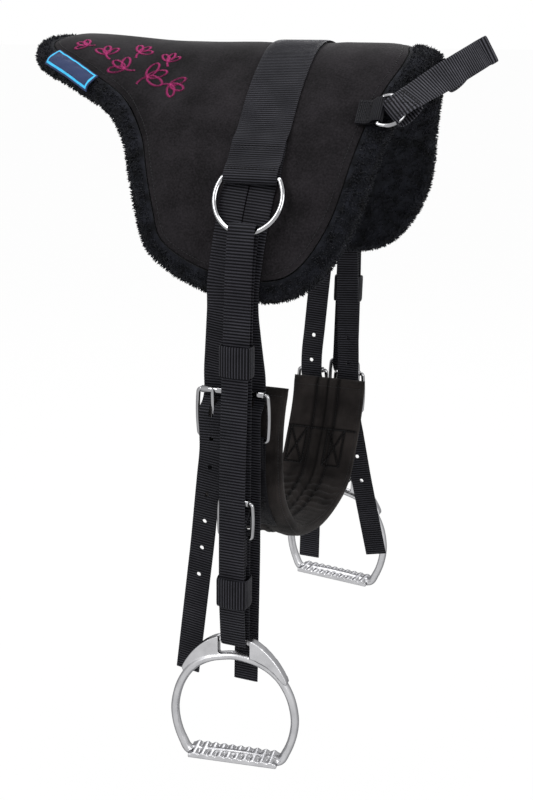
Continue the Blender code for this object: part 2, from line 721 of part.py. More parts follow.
def build_elastic(side, end, webbing):
    """Elastic webbing folded over the buckle's bar and sewn down along the girth."""
    bar_drop = girth_levels(side)[1]
    x = getattr(side, end).buckle_x
    wrap = FRAME_WIRE / 2 + CLEARANCE + ELASTIC_THICKNESS / 2
    bar = Vector((x, side.sign * GIRTH_BAR_OUT, SEAT_TOP - bar_drop))
    outward = Vector((0, side.sign, 0))
    path = [bar + outward * wrap - Z_AXIS * FOLD_LEG * share for share in (1.0, 0.66, 0.33, 0.0)]
    path += arc(bar, wrap, 30, 180, 6, (outward, Z_AXIS))
    lay = GIRTH_HALF_THICKNESS + LAY_GAP + ELASTIC_THICKNESS / 2
    line = girth_line(4 * GIRTH_STATIONS)
    if side.sign > 0:
        line = line[::-1]
    offset = []
    for k in range(1, len(line) - 1):
        tangent = (line[k + 1] - line[k - 1]).normalized()
        normal = X_AXIS.cross(tangent)
        if normal.y * side.sign < 0 or (abs(normal.y) < 0.1 and normal.z > 0):
            normal = -normal
        point = line[k] + lay * normal
        offset.append(Vector((x, point.y, point.z)))
    offset = [p for p in offset if p.z < bar.z - ELASTIC_START or abs(p.y) < GIRTH_HALF_SPAN / 2]
    total = lengths_along(offset)
    path += [at_length(offset, total, ELASTIC_LENGTH * k / 9) for k in range(10)]
    name = f"girth_elastic_{side.name}_{end}"
    elastic = ribbon(name, path, NARROW_WEBBING, ELASTIC_THICKNESS, webbing)
    tongue_slot(name + "_slot", elastic, x, GIRTH_BAR_OUT, bar_drop - FOLD_SLOT / 2,
                bar_drop + FOLD_SLOT / 2, side, 2 * (wrap + ELASTIC_THICKNESS))
    return elastic


# Stirrup straps and irons

def build_strap_side(side, bar_lift, webbing, plated, satin):
    sign = side.sign
    outward = Vector((0, sign, 0))
    bar_middle = on_seat(0, sign * D_BAR_REACH, bar_lift)
    down = Vector((0, sign * math.sin(D_LEAN), -math.cos(D_LEAN)))
    points, centre = d_ring_points(bar_middle, X_AXIS, down, D_ARC_RADIUS, D_HALF_BAR, D_POINTS)
    d_pivot = empty_at(f"d_ring_{side.name}_pivot", bar_middle)
    hang_on(wire_loop(f"d_ring_{side.name}", points, D_WIRE / 2, plated, 2), d_pivot)

    strap_pivot = empty_at(f"stirrup_strap_{side.name}_pivot", centre, d_pivot)
    strap_pivot.rotation_euler = (0, side.strap_lean, 0)

    sagitta = D_ARC_RADIUS - math.sqrt(D_ARC_RADIUS ** 2 - (NARROW_WEBBING / 2) ** 2)
    hold = centre + down * (D_ARC_RADIUS - sagitta - CLEARANCE)
    wrap = D_WIRE / 2 + D_PLAY + STRAP_THICKNESS / 2

    def at(out, drop):
        return Vector((0, sign * out, SEAT_TOP - drop))

    hold_out, hold_drop = abs(hold.y), SEAT_TOP - hold.z
    eye_drop = side.eye_drop
    bar_out = STRAP_BAR_OUT + side.strap_shift
    outer_out = STRAP_OUTER_OUT + side.strap_shift
    inner_rest = STRAP_INNER_OUT + side.strap_shift
    roller_drop = eye_drop - ROLLER_ABOVE_EYE
    bar_drop = roller_drop + STRAP_FRAME_HEIGHT
    bar = at(bar_out, bar_drop)
    eye = at(bar_out, eye_drop)
    bar_wrap = FRAME_WIRE / 2 + CLEARANCE + STRAP_THICKNESS / 2
    eye_wrap = EYE_WIRE / 2 + LAY_GAP + STRAP_THICKNESS / 2
    path = [at(bar_out + bar_wrap, bar_drop + FOLD_LEG * share) for share in (1.0, 0.5, 0.0)]
    path += arc(bar, bar_wrap, 30, 180, 6, (outward, Z_AXIS))
    inner_leg = bar_out - eye_wrap
    path += [at(inner_leg, bar_drop + (eye_drop - bar_drop) * share) for share in (0.15, 0.4, 0.7, 0.93)]
    path += arc(eye, eye_wrap, 180, 360, 8, (outward, Z_AXIS))
    outer_end = hold_out + wrap
    run_drop = roller_drop + OUTER_ABOVE_ROLLER
    outer_run = [at(bar_out + eye_wrap, eye_drop),
                 at(0.3 * (bar_out + eye_wrap) + 0.7 * outer_out, eye_drop - OUTER_RISE / 2),
                 at(outer_out, eye_drop - OUTER_RISE)]
    outer_run += [at(outer_out + (outer_end - outer_out) * way, run_drop + (hold_drop - run_drop) * share)
                  for share, way in OUTER_RUN_SHARES]
    path += evenly(outer_run, [k / 18 for k in range(1, 18)])
    path += arc(hold, wrap, 0, 180, 8, (outward, Z_AXIS))
    inner_out = hold_out - wrap
    path += [at(inner_out + (inner_rest - inner_out) * rise, hold_drop + INNER_RUN * share)
             for share, rise in INNER_RUN_SHARES[1:]]
    crossing = crossing_path(side, 0, bar_out, roller_drop, STRAP_TAIL_OFFSET, STRAP_THICKNESS)
    path += crossing
    tail_out = bar_out + STRAP_TAIL_OFFSET
    path += [at(tail_out, roller_drop + CROSSING_LENGTH + (STRAP_TAIL_LENGTH - CROSSING_LENGTH) * share)
             for share in (0.3, 0.65, 1.0)]
    strap = ribbon(f"stirrup_strap_{side.name}", path, NARROW_WEBBING, STRAP_THICKNESS, webbing)
    hang_on(strap, strap_pivot)
    tongue_slot(strap.name + "_tongue_slot", strap, 0, bar_out + CLEARANCE, roller_drop + SLOT_TOP,
                roller_drop + SLOT_BOTTOM, side, 2 * STRAP_TAIL_OFFSET + STRAP_THICKNESS + CLEARANCE, strap_pivot)
    tongue_slot(strap.name + "_bar_slot", strap, 0, bar_out, bar_drop - FOLD_SLOT / 2, bar_drop + FOLD_SLOT / 2,
                side, 2 * (bar_wrap + STRAP_THICKNESS), strap_pivot)
    build_buckle(f"stirrup_buckle_{side.name}", 0, bar_out, bar_drop, STRAP_FRAME_HEIGHT, side, plated,
                 strap_pivot)

    for level, drop in (("upper", UPPER_KEEPER_DROP), ("lower", eye_drop - side.keeper_above_eye)):
        outs = []
        for rise in (-KEEPER_HEIGHT / 2, 0.0, KEEPER_HEIGHT / 2):
            z = SEAT_TOP - drop + rise
            outs += [abs(a.lerp(b, (a.z - z) / (a.z - b.z)).y) for a, b in zip(path, path[1:])
                     if min(a.z, b.z) <= z < max(a.z, b.z)]
        low, high = min(outs), max(outs)
        gap = STRAP_THICKNESS / 2 + CLEARANCE + KEEPER_THICKNESS / 2
        half_out = (high - low) / 2 + gap
        half_x = NARROW_WEBBING / 2 + CLEARANCE + KEEPER_THICKNESS / 2
        middle = at((low + high) / 2, drop)
        dx, dy = half_x - KEEPER_CORNER, half_out - KEEPER_CORNER
        corners = []
        for cx, co, start in ((dx, dy, 0), (-dx, dy, 90), (-dx, -dy, 180), (dx, -dy, 270)):
            corners += arc(middle + Vector((cx, sign * co, 0)), KEEPER_CORNER, start, start + 90, 3,
                           (X_AXIS, outward))
        keeper = ribbon(f"keeper_{side.name}_{level}", corners, KEEPER_HEIGHT, KEEPER_THICKNESS, webbing,
                        Z_AXIS, closed=True)
        hang_on(keeper, strap_pivot)

    build_iron(side, eye, strap_pivot, satin)
    return {"bar": bar_middle, "centre": centre, "eye": eye}


def build_iron(side, eye, strap_pivot, satin):
    """Stirrup iron: an oval branch, a tread with cross ridges and an eye for the strap."""
    pivot = empty_at(f"stirrup_iron_{side.name}_pivot", eye, strap_pivot)
    turn = side.iron_turn
    top = eye - Z_AXIS * (EYE_HEIGHT + IRON_BRANCH / 2 - EYE_WIRE / 2)

    half = [Vector((x * IRON_HALF_WIDTH, 0, (z - 1) * IRON_HEIGHT)) for x, z in IRON_SHARES]
    right = evenly(half, [k / 14 for k in range(15)])
    line = [top + p for p in right] + [top + Vector((-p.x, 0, p.z)) for p in reversed(right[1:])]
    foot = (top - Z_AXIS * IRON_HEIGHT).z
    taper = [IRON_FOOT_SHARE + (1 - IRON_FOOT_SHARE) * smoothstep((p.z - foot) / (IRON_HEIGHT / 5)) for p in line]
    branch = sweep(f"stirrup_iron_{side.name}", line, round_section(IRON_DEPTH / 2, IRON_BRANCH / 2, 8), satin,
                   Y_AXIS, closed=True, smooth=60, through_scale=taper)
    hang_on(branch, pivot, turn)

    bar = sweep(branch.name + "_eye", [eye - X_AXIS * EYE_WIDTH / 2, eye, eye + X_AXIS * EYE_WIDTH / 2],
                round_section(EYE_WIRE / 2, EYE_WIRE / 2, 10), satin, Y_AXIS)
    tread = build_tread(branch.name + "_tread", top - Z_AXIS * IRON_HEIGHT, satin)
    hang_on(bar, pivot)
    hang_on(tread, pivot, turn)
    joined = [bar, tread]
    for hand in (-1, 1):
        outline = [(hand * x * IRON_HALF_WIDTH, z * IRON_HALF_WIDTH) for x, z in SHOULDER_SHARES]
        shoulder_name = f"{branch.name}_shoulder_{'front' if hand > 0 else 'rear'}"
        shoulder = prism(shoulder_name, eye, outline, SHOULDER_DEPTH, satin)
        hang_on(shoulder, pivot, turn / 2)
        joined.append(shoulder)
    for piece in joined:
        piece.hide_render = True
        piece.display_type = "WIRE"
        boolean(branch, piece, "UNION")


def prism(name, middle, outline, depth, finish_material):
    """A plate along Y with an (x, z) outline around the middle point."""
    bm = bmesh.new()
    rings = [[bm.verts.new(middle + Vector((x, y, z))) for x, z in outline] for y in (-depth / 2, depth / 2)]
    count = len(outline)
    for k in range(count):
        bm.faces.new((rings[0][k], rings[0][(k + 1) % count], rings[1][(k + 1) % count], rings[1][k]))
    bm.faces.new(rings[0])
    bm.faces.new(rings[1])
    return finish(name, bm, finish_material, 20)


def build_tread(name, middle, satin):
    """Tread plate, cut from one outline with cross ridges on top."""
    pitch = (TREAD_LENGTH - 4 * TREAD_BEVEL) / TREAD_RIDGES
    start = -TREAD_RIDGES * pitch / 2
    top = TREAD_THICKNESS / 2
    outline = [(-TREAD_LENGTH / 2, -top), (TREAD_LENGTH / 2, -top), (TREAD_LENGTH / 2, top)]
    for k in reversed(range(TREAD_RIDGES)):
        outline.append((start + (k + 1) * pitch, top))
        outline.append((start + (k + 0.5 + RIDGE_FLAT_SHARE / 2) * pitch, top + TREAD_RIDGE))
        outline.append((start + (k + 0.5 - RIDGE_FLAT_SHARE / 2) * pitch, top + TREAD_RIDGE))
    outline += [(start, top), (-TREAD_LENGTH / 2, top)]
    return prism(name, middle, outline, TREAD_DEPTH, satin)


# Front handle

def small_ring_frame(side):
    """(bar middle, along the bar, towards the arc) of a front D-ring."""
    reach = side.front_ring_reach
    middle = on_seat(SMALL_BAR_X, side.sign * reach, SMALL_BAR_LIFT)
    low = on_seat(SMALL_BAR_X, side.sign * (reach + SMALL_HALF_BAR), SMALL_BAR_LIFT)
    high = on_seat(SMALL_BAR_X, side.sign * (reach - SMALL_HALF_BAR), SMALL_BAR_LIFT)
    return middle, (low - high).normalized(), X_AXIS


def build_front_ring(side, plated, webbing):
    middle, along, forward = small_ring_frame(side)
    points, centre = d_ring_points(middle, along, forward, SMALL_ARC_RADIUS, SMALL_HALF_BAR, SMALL_POINTS)
    ring = wire_loop(f"front_ring_{side.name}", points, SMALL_WIRE / 2, plated)
    hang_on(ring, empty_at(f"front_ring_{side.name}_pivot", middle))
    wrap = SMALL_WIRE / 2 + CLEARANCE + TAB_THICKNESS / 2
    normal = forward.cross(along).normalized()
    if normal.y * side.sign < 0:
        normal = -normal
    legs = TAB_LENGTH - wrap
    under = LAY_GAP + TAB_THICKNESS / 2 - SMALL_BAR_LIFT
    over = under + TAB_THICKNESS + CLEARANCE
    path = [middle - forward * legs + normal * under, middle - forward * legs / 2 + normal * under]
    path.append(middle - forward * TAB_STEP + normal * max(under, -wrap))
    path += arc(middle, wrap, -90, 90, 6, (forward, normal))
    path += [middle - forward * wrap * 1.4 + normal * wrap * 0.7, middle - forward * legs * 0.45 + normal * over,
             middle - forward * legs + normal * over]
    width = 2 * SMALL_HALF_BAR - SMALL_WIRE - 2 * CLEARANCE
    ribbon(f"front_tab_{side.name}", path, width, TAB_THICKNESS, webbing, along)


def handle_half(side):
    """One half of the handle from its sewn return leg to the tip: points and width directions."""
    sign = side.sign
    middle, along, forward = small_ring_frame(side)
    normal = forward.cross(along).normalized()
    if normal.y * sign < 0:
        normal = -normal
    drop = math.sqrt(SMALL_ARC_RADIUS ** 2 - SMALL_HALF_BAR ** 2)
    hold = middle + forward * (drop + math.sqrt(SMALL_ARC_RADIUS ** 2 - (NARROW_WEBBING / 2) ** 2) - CLEARANCE)
    leg = HANDLE_LEG_GAP
    reach = SMALL_ARC_RADIUS - math.sqrt(SMALL_ARC_RADIUS ** 2 - (NARROW_WEBBING / 2) ** 2) + SMALL_WIRE
    path = [hold + forward * (reach + HANDLE_RETURN) + normal * (leg * 0.1), hold + forward * reach - normal * leg * 0.8]
    path += arc(hold, leg, 270, 90, 7, (forward, normal))
    away = hold + forward * (reach + HANDLE_START) + normal * leg
    tip = Vector((HANDLE_TIP_X, sign * HANDLE_FOLD, SEAT_TOP - HANDLE_TIP_DROP))
    run = evenly([away, away.lerp(tip, 0.3) + HANDLE_BOW * X_AXIS, away.lerp(tip, 0.7) + HANDLE_BOW * X_AXIS, tip],
                 [k / 9 for k in range(10)])
    path += run
    edge = Vector((math.sin(HANDLE_EDGE_TILT), 0, -math.cos(HANDLE_EDGE_TILT)))
    first = along if along.z < 0 else -along
    hints = [first] * (len(path) - len(run))
    hints += [first.lerp(edge, smoothstep(k / 6)).normalized() for k in range(len(run))]
    return path, hints


def build_handle(webbing):
    near, near_hints = handle_half(NEAR)
    far, far_hints = handle_half(FAR)
    edge = near_hints[-1]
    tip = Vector((HANDLE_TIP_X, 0, SEAT_TOP - HANDLE_TIP_DROP))
    fold = arc(tip, HANDLE_FOLD, -90, 90, 7, (Vector((math.cos(HANDLE_EDGE_TILT), 0, math.sin(HANDLE_EDGE_TILT))),
                                            Y_AXIS))[1:-1]
    ribbon("grab_handle", near + fold + far[::-1], NARROW_WEBBING, HANDLE_THICKNESS, webbing,
           near_hints + [edge] * len(fold) + far_hints[::-1])


# Label

def roll_lift(inset):
    half = SEAT_TOP / 2
    if inset >= half:
        return 0.0
    return math.sqrt(half ** 2 - (half - inset) ** 2) - half


def build_label(cloth):
    """A blank woven label, bent over the fleece border at the rear of the near side."""
    curve = catmull(edge_points(REAR_EDGE_SHARES, SEAT_REAR), 12)
    total = lengths_along(curve)
    bm = bmesh.new()
    layers = []
    for lift in (LABEL_LIFT, LABEL_LIFT + LABEL_THICKNESS):
        grid = []
        for i in range(LABEL_COLUMNS + 1):
            place = LABEL_START + LABEL_LENGTH * i / LABEL_COLUMNS
            point = at_length(curve, total, place)
            ahead = at_length(curve, total, place + LABEL_STEP)
            tangent = (ahead - point).normalized()
            inward = Vector((tangent.y, -tangent.x, 0))
            row = []
            for share in (0.0, 0.25, 0.5, 0.7, 0.86, 1.0):
                inset = LABEL_COVER_INSET + (LABEL_OUTER_INSET - LABEL_COVER_INSET) * share
                here = point + inward * inset
                half = SEAT_TOP / 2
                a = math.asin(min(1, max(0, (half - inset) / half)))
                shifted = here - inward * lift * math.sin(a)
                row.append(bm.verts.new(on_seat(shifted.x, -shifted.y, roll_lift(inset) + lift * math.cos(a))))
            grid.append(row)
        layers.append(grid)
    low, high = layers
    rows, columns = len(low), len(low[0])
    for grid in layers:
        for i in range(rows - 1):
            for j in range(columns - 1):
                bm.faces.new((grid[i][j], grid[i + 1][j], grid[i + 1][j + 1], grid[i][j + 1]))
    rim = [(i, 0) for i in range(rows)] + [(rows - 1, j) for j in range(1, columns)]
    rim += [(i, columns - 1) for i in range(rows - 2, -1, -1)] + [(0, j) for j in range(columns - 2, 0, -1)]
    for (i, j), (k, m) in zip(rim, rim[1:] + rim[:1]):
        bm.faces.new((low[i][j], low[k][m], high[k][m], high[i][j]))
    return finish("blank_label", bm, cloth)


def main():
    clear_scene()
    suede = material("suede", (0.030, 0.026, 0.028), 0.85)
    foam = material("foam", (0.30, 0.30, 0.32), 0.9)
    fleece = material("fleece", (0.008, 0.009, 0.011), 1.0)
    webbing = material("webbing", (0.012, 0.012, 0.014), 0.6)
    quilt = material("girth_fabric", (0.028, 0.024, 0.022), 0.7)
    plated = material("plated_steel", (0.78, 0.78, 0.80), 0.15, 1.0)
    satin = material("satin_steel", (0.62, 0.62, 0.64), 0.35, 1.0)
    cloth = material("label_cloth", (0.03, 0.045, 0.09), 0.8)

    build_seat(suede, foam, fleece)
    bar_lift = build_top_webbing(webbing)
    for side in (NEAR, FAR):
        build_strap_side(side, bar_lift, webbing, plated, satin)
        bar_drop = girth_levels(side)[1]
        for end in ("front", "rear"):
            build_billet(side, end, webbing)
            build_elastic(side, end, webbing)
            build_buckle(f"girth_buckle_{side.name}_{end}", getattr(side, end).buckle_x, GIRTH_BAR_OUT, bar_drop,
                         GIRTH_FRAME_HEIGHT, side, plated)
        build_front_ring(side, plated, webbing)
    build_girth(quilt)
    build_handle(webbing)
    build_label(cloth)


main()
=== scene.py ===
"""Looks of the bareback pad: suede seat on deep fleece, ribbed webbing, girth, stirrups and grab handle.

Metres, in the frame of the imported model. +X is the front, -Y the near side and +Z up.
Every path repeats the route of its solid, so each dressed piece lies where its solid does.
"""
import logging
import math
from collections.abc import Callable, Sequence
from dataclasses import dataclass, field
from enum import Enum

import bmesh
import bpy
import numpy as np
from bpy.types import Material, Mesh, Node, NodeSocket, NodeTree, Object
from mathutils import Matrix, Vector


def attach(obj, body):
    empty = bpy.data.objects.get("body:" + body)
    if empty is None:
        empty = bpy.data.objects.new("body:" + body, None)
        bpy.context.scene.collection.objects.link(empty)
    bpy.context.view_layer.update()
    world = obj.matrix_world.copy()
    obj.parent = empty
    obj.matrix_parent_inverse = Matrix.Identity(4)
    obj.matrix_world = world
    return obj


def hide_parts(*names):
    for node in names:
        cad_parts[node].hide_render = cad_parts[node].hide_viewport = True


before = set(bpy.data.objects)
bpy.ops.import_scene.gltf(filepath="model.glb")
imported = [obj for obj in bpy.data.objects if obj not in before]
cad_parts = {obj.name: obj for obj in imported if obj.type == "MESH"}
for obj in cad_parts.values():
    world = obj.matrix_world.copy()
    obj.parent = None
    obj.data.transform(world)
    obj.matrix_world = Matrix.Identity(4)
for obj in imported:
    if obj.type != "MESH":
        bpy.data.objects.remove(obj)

LOG = logging.getLogger("bareback_pad")
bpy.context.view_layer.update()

MM = 0.001
X_AXIS = Vector((1, 0, 0))
Y_AXIS = Vector((0, 1, 0))
Z_AXIS = Vector((0, 0, 1))
LAY = "lay"
SHADE = "shade"
SEED = 11
CLEARANCE = 0.3 * MM  # between metal and webbing
SEAM_LIFT = 0.4 * MM  # webbing over the cover
SLOT_RADIUS = 2.3 * MM
THREAD_LIFT = 0.1 * MM
THREAD_STEP = 1.5 * MM
TONGUE_SLOT = (7.0 * MM, 24.0 * MM)  # below the roller
FOLD_SLOT = 7.5 * MM  # below the bar

Array = np.ndarray
Pairs = tuple[tuple[float, float], ...]
Triple = tuple[float, float, float]
Outline = Sequence[tuple[float, float]]
Path = list[Vector]
Faces = list[tuple[int, ...]]


class End(Enum):
    """The two billets of a side."""

    FRONT = "front"
    REAR = "rear"


class Relief(Enum):
    """Kinds of webbing by the pitch and the height of their cross ribs, in metres."""

    WIDE = (2.1 * MM, 0.42 * MM)
    STRAP = (2.8 * MM, 0.46 * MM)
    BILLET = (2.6 * MM, 0.40 * MM)
    FINE = (1.6 * MM, 0.16 * MM)

    @property
    def pitch(self) -> float:
        """Distance from rib to rib."""
        return self.value[0]

    @property
    def height(self) -> float:
        """Height of a rib over the ground of the weave."""
        return self.value[1]


@dataclass(frozen=True)
class BilletPlan:
    """Where one billet lies along X at the flap's edge, at its buckle and at its tip, and how low it ends."""

    flap_x: float
    buckle_x: float
    tip_x: float
    end_drop: float


@dataclass(frozen=True)
class SidePlan:
    """What differs between the near and the far side."""

    name: str
    sign: int
    eye_drop: float
    girth_hole: int
    girth_gap: float
    ring_reach: float
    strap_shift: float
    strap_lean: float
    iron_turn: float
    keeper_above_eye: float
    front: BilletPlan
    rear: BilletPlan

    @property
    def outward(self) -> Vector:
        """The way from the middle plane to this side."""
        return Vector((0, self.sign, 0))

    def billet(self, end: End) -> BilletPlan:
        """The plan of this side's front or rear billet."""
        return self.front if end is End.FRONT else self.rear


NEAR = SidePlan("near", -1, 540.0 * MM, 0, 0.0 * MM, 110.0 * MM, 4.0 * MM, math.radians(0.8),
    math.radians(8.5), 53.0 * MM, BilletPlan(2.0 * MM, 3.6 * MM, -1.5 * MM, 589.0 * MM),
    BilletPlan(-23.2 * MM, -32.6 * MM, -63.0 * MM, 590.0 * MM))
FAR = SidePlan("far", 1, 491.0 * MM, 2, 3.0 * MM, 86.0 * MM, 3.5 * MM, math.radians(1.6), math.radians(-5.0),
               48.0 * MM,
               BilletPlan(-2.0 * MM, 5.5 * MM, 41.0 * MM, 574.0 * MM),
               BilletPlan(-31.0 * MM, -37.6 * MM, -41.0 * MM, 590.0 * MM))


# Curves and frames

def smoothstep(value: float) -> float:
    """Smooth step from 0 to 1."""
    value = min(max(value, 0.0), 1.0)
    return value * value * (3 - 2 * value)


def catmull(points: Sequence[Vector], steps: int, closed: bool = False) -> Path:
    """Smooth curve through points.

    Args:
        points: Points that the curve passes through.
        steps: Steps in each span.
        closed: Whether the curve returns to its first point.

    Returns:
        The curve's points. A closed curve doesn't repeat its first point.
    """
    if closed:
        ends = [points[-1], *points, points[0], points[1]]
    else:
        ends = [2 * points[0] - points[1], *points, 2 * points[-1] - points[-2]]
    curve = []
    for p0, p1, p2, p3 in zip(ends, ends[1:], ends[2:], ends[3:]):
        for k in range(steps):
            t = k / steps
            curve.append(0.5 * (2 * p1 + (p2 - p0) * t + (2 * p0 - 5 * p1 + 4 * p2 - p3) * t ** 2
                                + (3 * p1 - p0 - 3 * p2 + p3) * t ** 3))
    if not closed:
        curve.append(points[-1])
    return curve


def flow(points: Array, closed: bool, step: float) -> tuple[Array, Array]:
    """Smooth curve through points of any spacing, without overshoot.

    Args:
        points: Points that it passes through.
        closed: Whether it returns to its start, which it then repeats at its end.
        step: Longest step between the curve's points.

    Returns:
        The curve's points, and the place of each among the given points.
    """
    count = len(points)
    if closed:
        points = np.vstack([points[-1:], points, points[:2]])
    else:
        points = np.vstack([2 * points[0] - points[1], points, 2 * points[-1] - points[-2]])
    gaps = np.maximum(np.linalg.norm(np.diff(points, axis=0), axis=1), 1e-9)
    units = np.diff(points, axis=0) / gaps[:, None]
    slopes = units[:-1] * gaps[1:, None] + units[1:] * gaps[:-1, None]
    slopes /= (gaps[:-1] + gaps[1:])[:, None]
    found, where = [], []
    for k in range(count if closed else count - 1):
        steps = max(2, math.ceil(gaps[k + 1] / step))
        t = (np.arange(steps) / steps)[:, None]
        start, end, reach = points[k + 1], points[k + 2], gaps[k + 1]
        found.append(start * (2 * t ** 3 - 3 * t ** 2 + 1) + end * (3 * t ** 2 - 2 * t ** 3)
            + slopes[k] * reach * (t ** 3 - 2 * t ** 2 + t) + slopes[k + 1] * reach * (t ** 3 - t ** 2))
        where.append(k + t[:, 0])
    found.append(points[1:2] if closed else points[-2:-1])
    where.append(np.array([count if closed else count - 1.0]))
    return np.vstack(found), np.concatenate(where)


def spaced(corners: Outline | Array, step: float) -> tuple[Array, Array]:
    """Even places along straight runs between corners."""
    table = np.array(corners)
    size = np.concatenate([[0], np.cumsum(np.hypot(*np.diff(table, axis=0).T))])
    where = np.arange(0, size[-1], step)
    return np.interp(where, size, table[:, 0]), np.interp(where, size, table[:, 1])


def turned(about: Vector, angle: float, axis: str) -> Matrix:
    """A turn about an axis through a point."""
    return Matrix.Translation(about) @ Matrix.Rotation(angle, 4, axis) @ Matrix.Translation(-about)


def at_length(curve: Sequence[Vector], place: float) -> Vector:
    """The point this far along a polyline."""
    for a, b in zip(curve, curve[1:]):
        step = (b - a).length
        if place <= step:
            return a.lerp(b, place / step if step else 0.0)
        place -= step
    return curve[-1]


def evenly(points: Sequence[Vector], places: Sequence[float]) -> Path:
    """Points of the smooth curve at these shares of its length."""
    curve = catmull(points, 12)
    total = sum((b - a).length for a, b in zip(curve, curve[1:]))
    return [at_length(curve, share * total) for share in places]


def arc(centre: Vector, radius: float, start: float, end: float, count: int,
        plane: tuple[Vector, Vector]) -> Path:
    """Points on an arc in the plane of two directions, angles in degrees."""
    u, v = plane
    angles = (math.radians(start + (end - start) * k / (count - 1)) for k in range(count))
    return [centre + radius * (math.cos(a) * u + math.sin(a) * v) for a in angles]


@dataclass
class Route:
    """A path with a width direction at each point, ready to carry a section."""

    points: Array
    across: Array
    through: Array
    lengths: Array
    closed: bool

    @classmethod
    def through_points(cls, path: Sequence[Vector], hints: Vector | Sequence[Vector] = X_AXIS,
                       closed: bool = False, step: float = 0.8 * MM) -> "Route":
        """Builds the route.

        Args:
            path: Points that the route passes through.
            hints: Width direction, one for all or one for each point.
            closed: Whether it returns to its start.
            step: Longest step between its points.

        Returns:
            The route, with even cross directions.
        """
        curve, where = flow(np.array([list(p) for p in path]), closed, step)
        hint_list = [hints] * len(path) if isinstance(hints, Vector) else list(hints)
        hint_array = np.array([list(h) for h in hint_list])
        if closed:
            hint_array = np.vstack([hint_array, hint_array[:1]])
        hint = np.stack([np.interp(where, np.arange(len(hint_array)), hint_array[:, k]) for k in range(3)], 1)
        gaps = np.linalg.norm(np.diff(curve, axis=0), axis=1)
        keep = np.concatenate([[True], gaps > 1e-7])
        curve, hint = curve[keep], hint[keep]
        gaps = np.linalg.norm(np.diff(curve, axis=0), axis=1)
        lengths = np.concatenate([[0.0], np.cumsum(gaps)])
        units = np.diff(curve, axis=0) / gaps[:, None]
        tangents = np.vstack([units[:1], units[:-1] + units[1:], units[-1:]])
        if closed:
            tangents[0] = tangents[-1] = units[0] + units[-1]
        tangents /= np.linalg.norm(tangents, axis=1)[:, None]
        across = hint - tangents * (tangents * hint).sum(1)[:, None]
        across /= np.linalg.norm(across, axis=1)[:, None]
        return cls(curve, across, np.cross(tangents, across), lengths, closed)

    @property
    def total(self) -> float:
        """The route's length."""
        return float(self.lengths[-1])

    def sample(self, places: Array) -> tuple[Array, Array, Array]:
        """(points, width directions, thickness directions) at these lengths along the route."""
        found = []
        for values in (self.points, self.across, self.through):
            found.append(np.stack([np.interp(places, self.lengths, values[:, k]) for k in range(3)], -1))
        for k in (1, 2):
            found[k] /= np.linalg.norm(found[k], axis=-1, keepdims=True)
        return found[0], found[1], found[2]

    def crossings(self, z: float) -> list[float]:
        """Lengths along the route where it passes through this height, in order."""
        heights = self.points[:, 2] - z
        found = []
        for k in np.nonzero(heights[:-1] * heights[1:] <= 0)[0]:
            share = heights[k] / (heights[k] - heights[k + 1]) if heights[k] != heights[k + 1] else 0.0
            found.append(float(self.lengths[k] + share * (self.lengths[k + 1] - self.lengths[k])))
        return found

    def facing(self, length: float, outward: Vector) -> int:
        """Which face of the fabric, 1 or -1, looks this way at this length."""
        through = self.sample(np.array([length]))[2][0]
        return 1 if float(np.dot(through, np.array(outward))) > 0 else -1


# Meshes

def link(name: str, data: object) -> Object:
    """Puts data into the scene as an object of this name."""
    obj = bpy.data.objects.new(name, data)
    bpy.context.scene.collection.objects.link(obj)
    return obj


def plain_mesh(obj: Object, finish: Material) -> Mesh:
    """The smooth mesh that an object's modifiers leave. They are taken off it."""
    mesh = bpy.data.meshes.new_from_object(obj.evaluated_get(bpy.context.evaluated_depsgraph_get()))
    obj.modifiers.clear()
    mesh.materials.clear()
    mesh.materials.append(finish)
    mesh.shade_smooth()
    return mesh


def raw_object(name: str, verts: Sequence, edges: Sequence, faces: Sequence) -> Object:
    """An object with a plain mesh, for a tree to work on."""
    mesh = bpy.data.meshes.new(name)
    mesh.from_pydata(verts, edges, faces)
    return link(name, mesh)


def mesh_object(name: str, verts: Array, faces: Sequence[Sequence[int]], finish: Material,
                lay: Array | None = None, smooth: float = 50.0, recalc: bool = True) -> Object:
    """Makes a smooth-shaded mesh object at the origin.

    Args:
        name: Name of the object.
        verts: Vertex positions.
        faces: Vertex indices of each face.
        finish: Its material.
        lay: Fabric coordinates in metres, (across, along, through), for each vertex. The quilted girth puts
            the seam pucker, the mask of its cloth's painted shade, in the third.
        smooth: Edges sharper than this many degrees stay sharp.
        recalc: Whether the faces are turned outwards.

    Returns:
        The object.
    """
    mesh = bpy.data.meshes.new(name)
    mesh.from_pydata(np.asarray(verts, float).tolist(), [], [list(f) for f in faces])
    if lay is not None:
        attribute = mesh.attributes.new(LAY, "FLOAT_VECTOR", "POINT")
        attribute.data.foreach_set("vector", np.asarray(lay, np.float32).ravel())
    if recalc:
        bm = bmesh.new()
        bm.from_mesh(mesh)
        bmesh.ops.recalc_face_normals(bm, faces=bm.faces)
        bm.to_mesh(mesh)
        bm.free()
    mesh.materials.append(finish)
    mesh.shade_smooth()
    mesh.set_sharp_from_angle(angle=math.radians(smooth))
    return link(name, mesh)


def place(obj: Object, matrix: Matrix | None) -> Object:
    """Moves an object's mesh, leaving the object at the origin."""
    if matrix is not None:
        obj.data.transform(matrix)
    return obj


def join(name: str, parts: Sequence[Object]) -> Object:
    """Joins objects with plain meshes into one of this name, with the first one's finish."""
    bm = bmesh.new()
    for part in parts:
        bm.from_mesh(part.data)
    mesh = bpy.data.meshes.new(name)
    bm.to_mesh(mesh)
    bm.free()
    mesh.materials.append(parts[0].data.materials[0])
    mesh.shade_smooth()
    mesh.set_sharp_from_angle(angle=math.radians(40))
    for part in parts:
        bpy.data.objects.remove(part)
    return link(name, mesh)


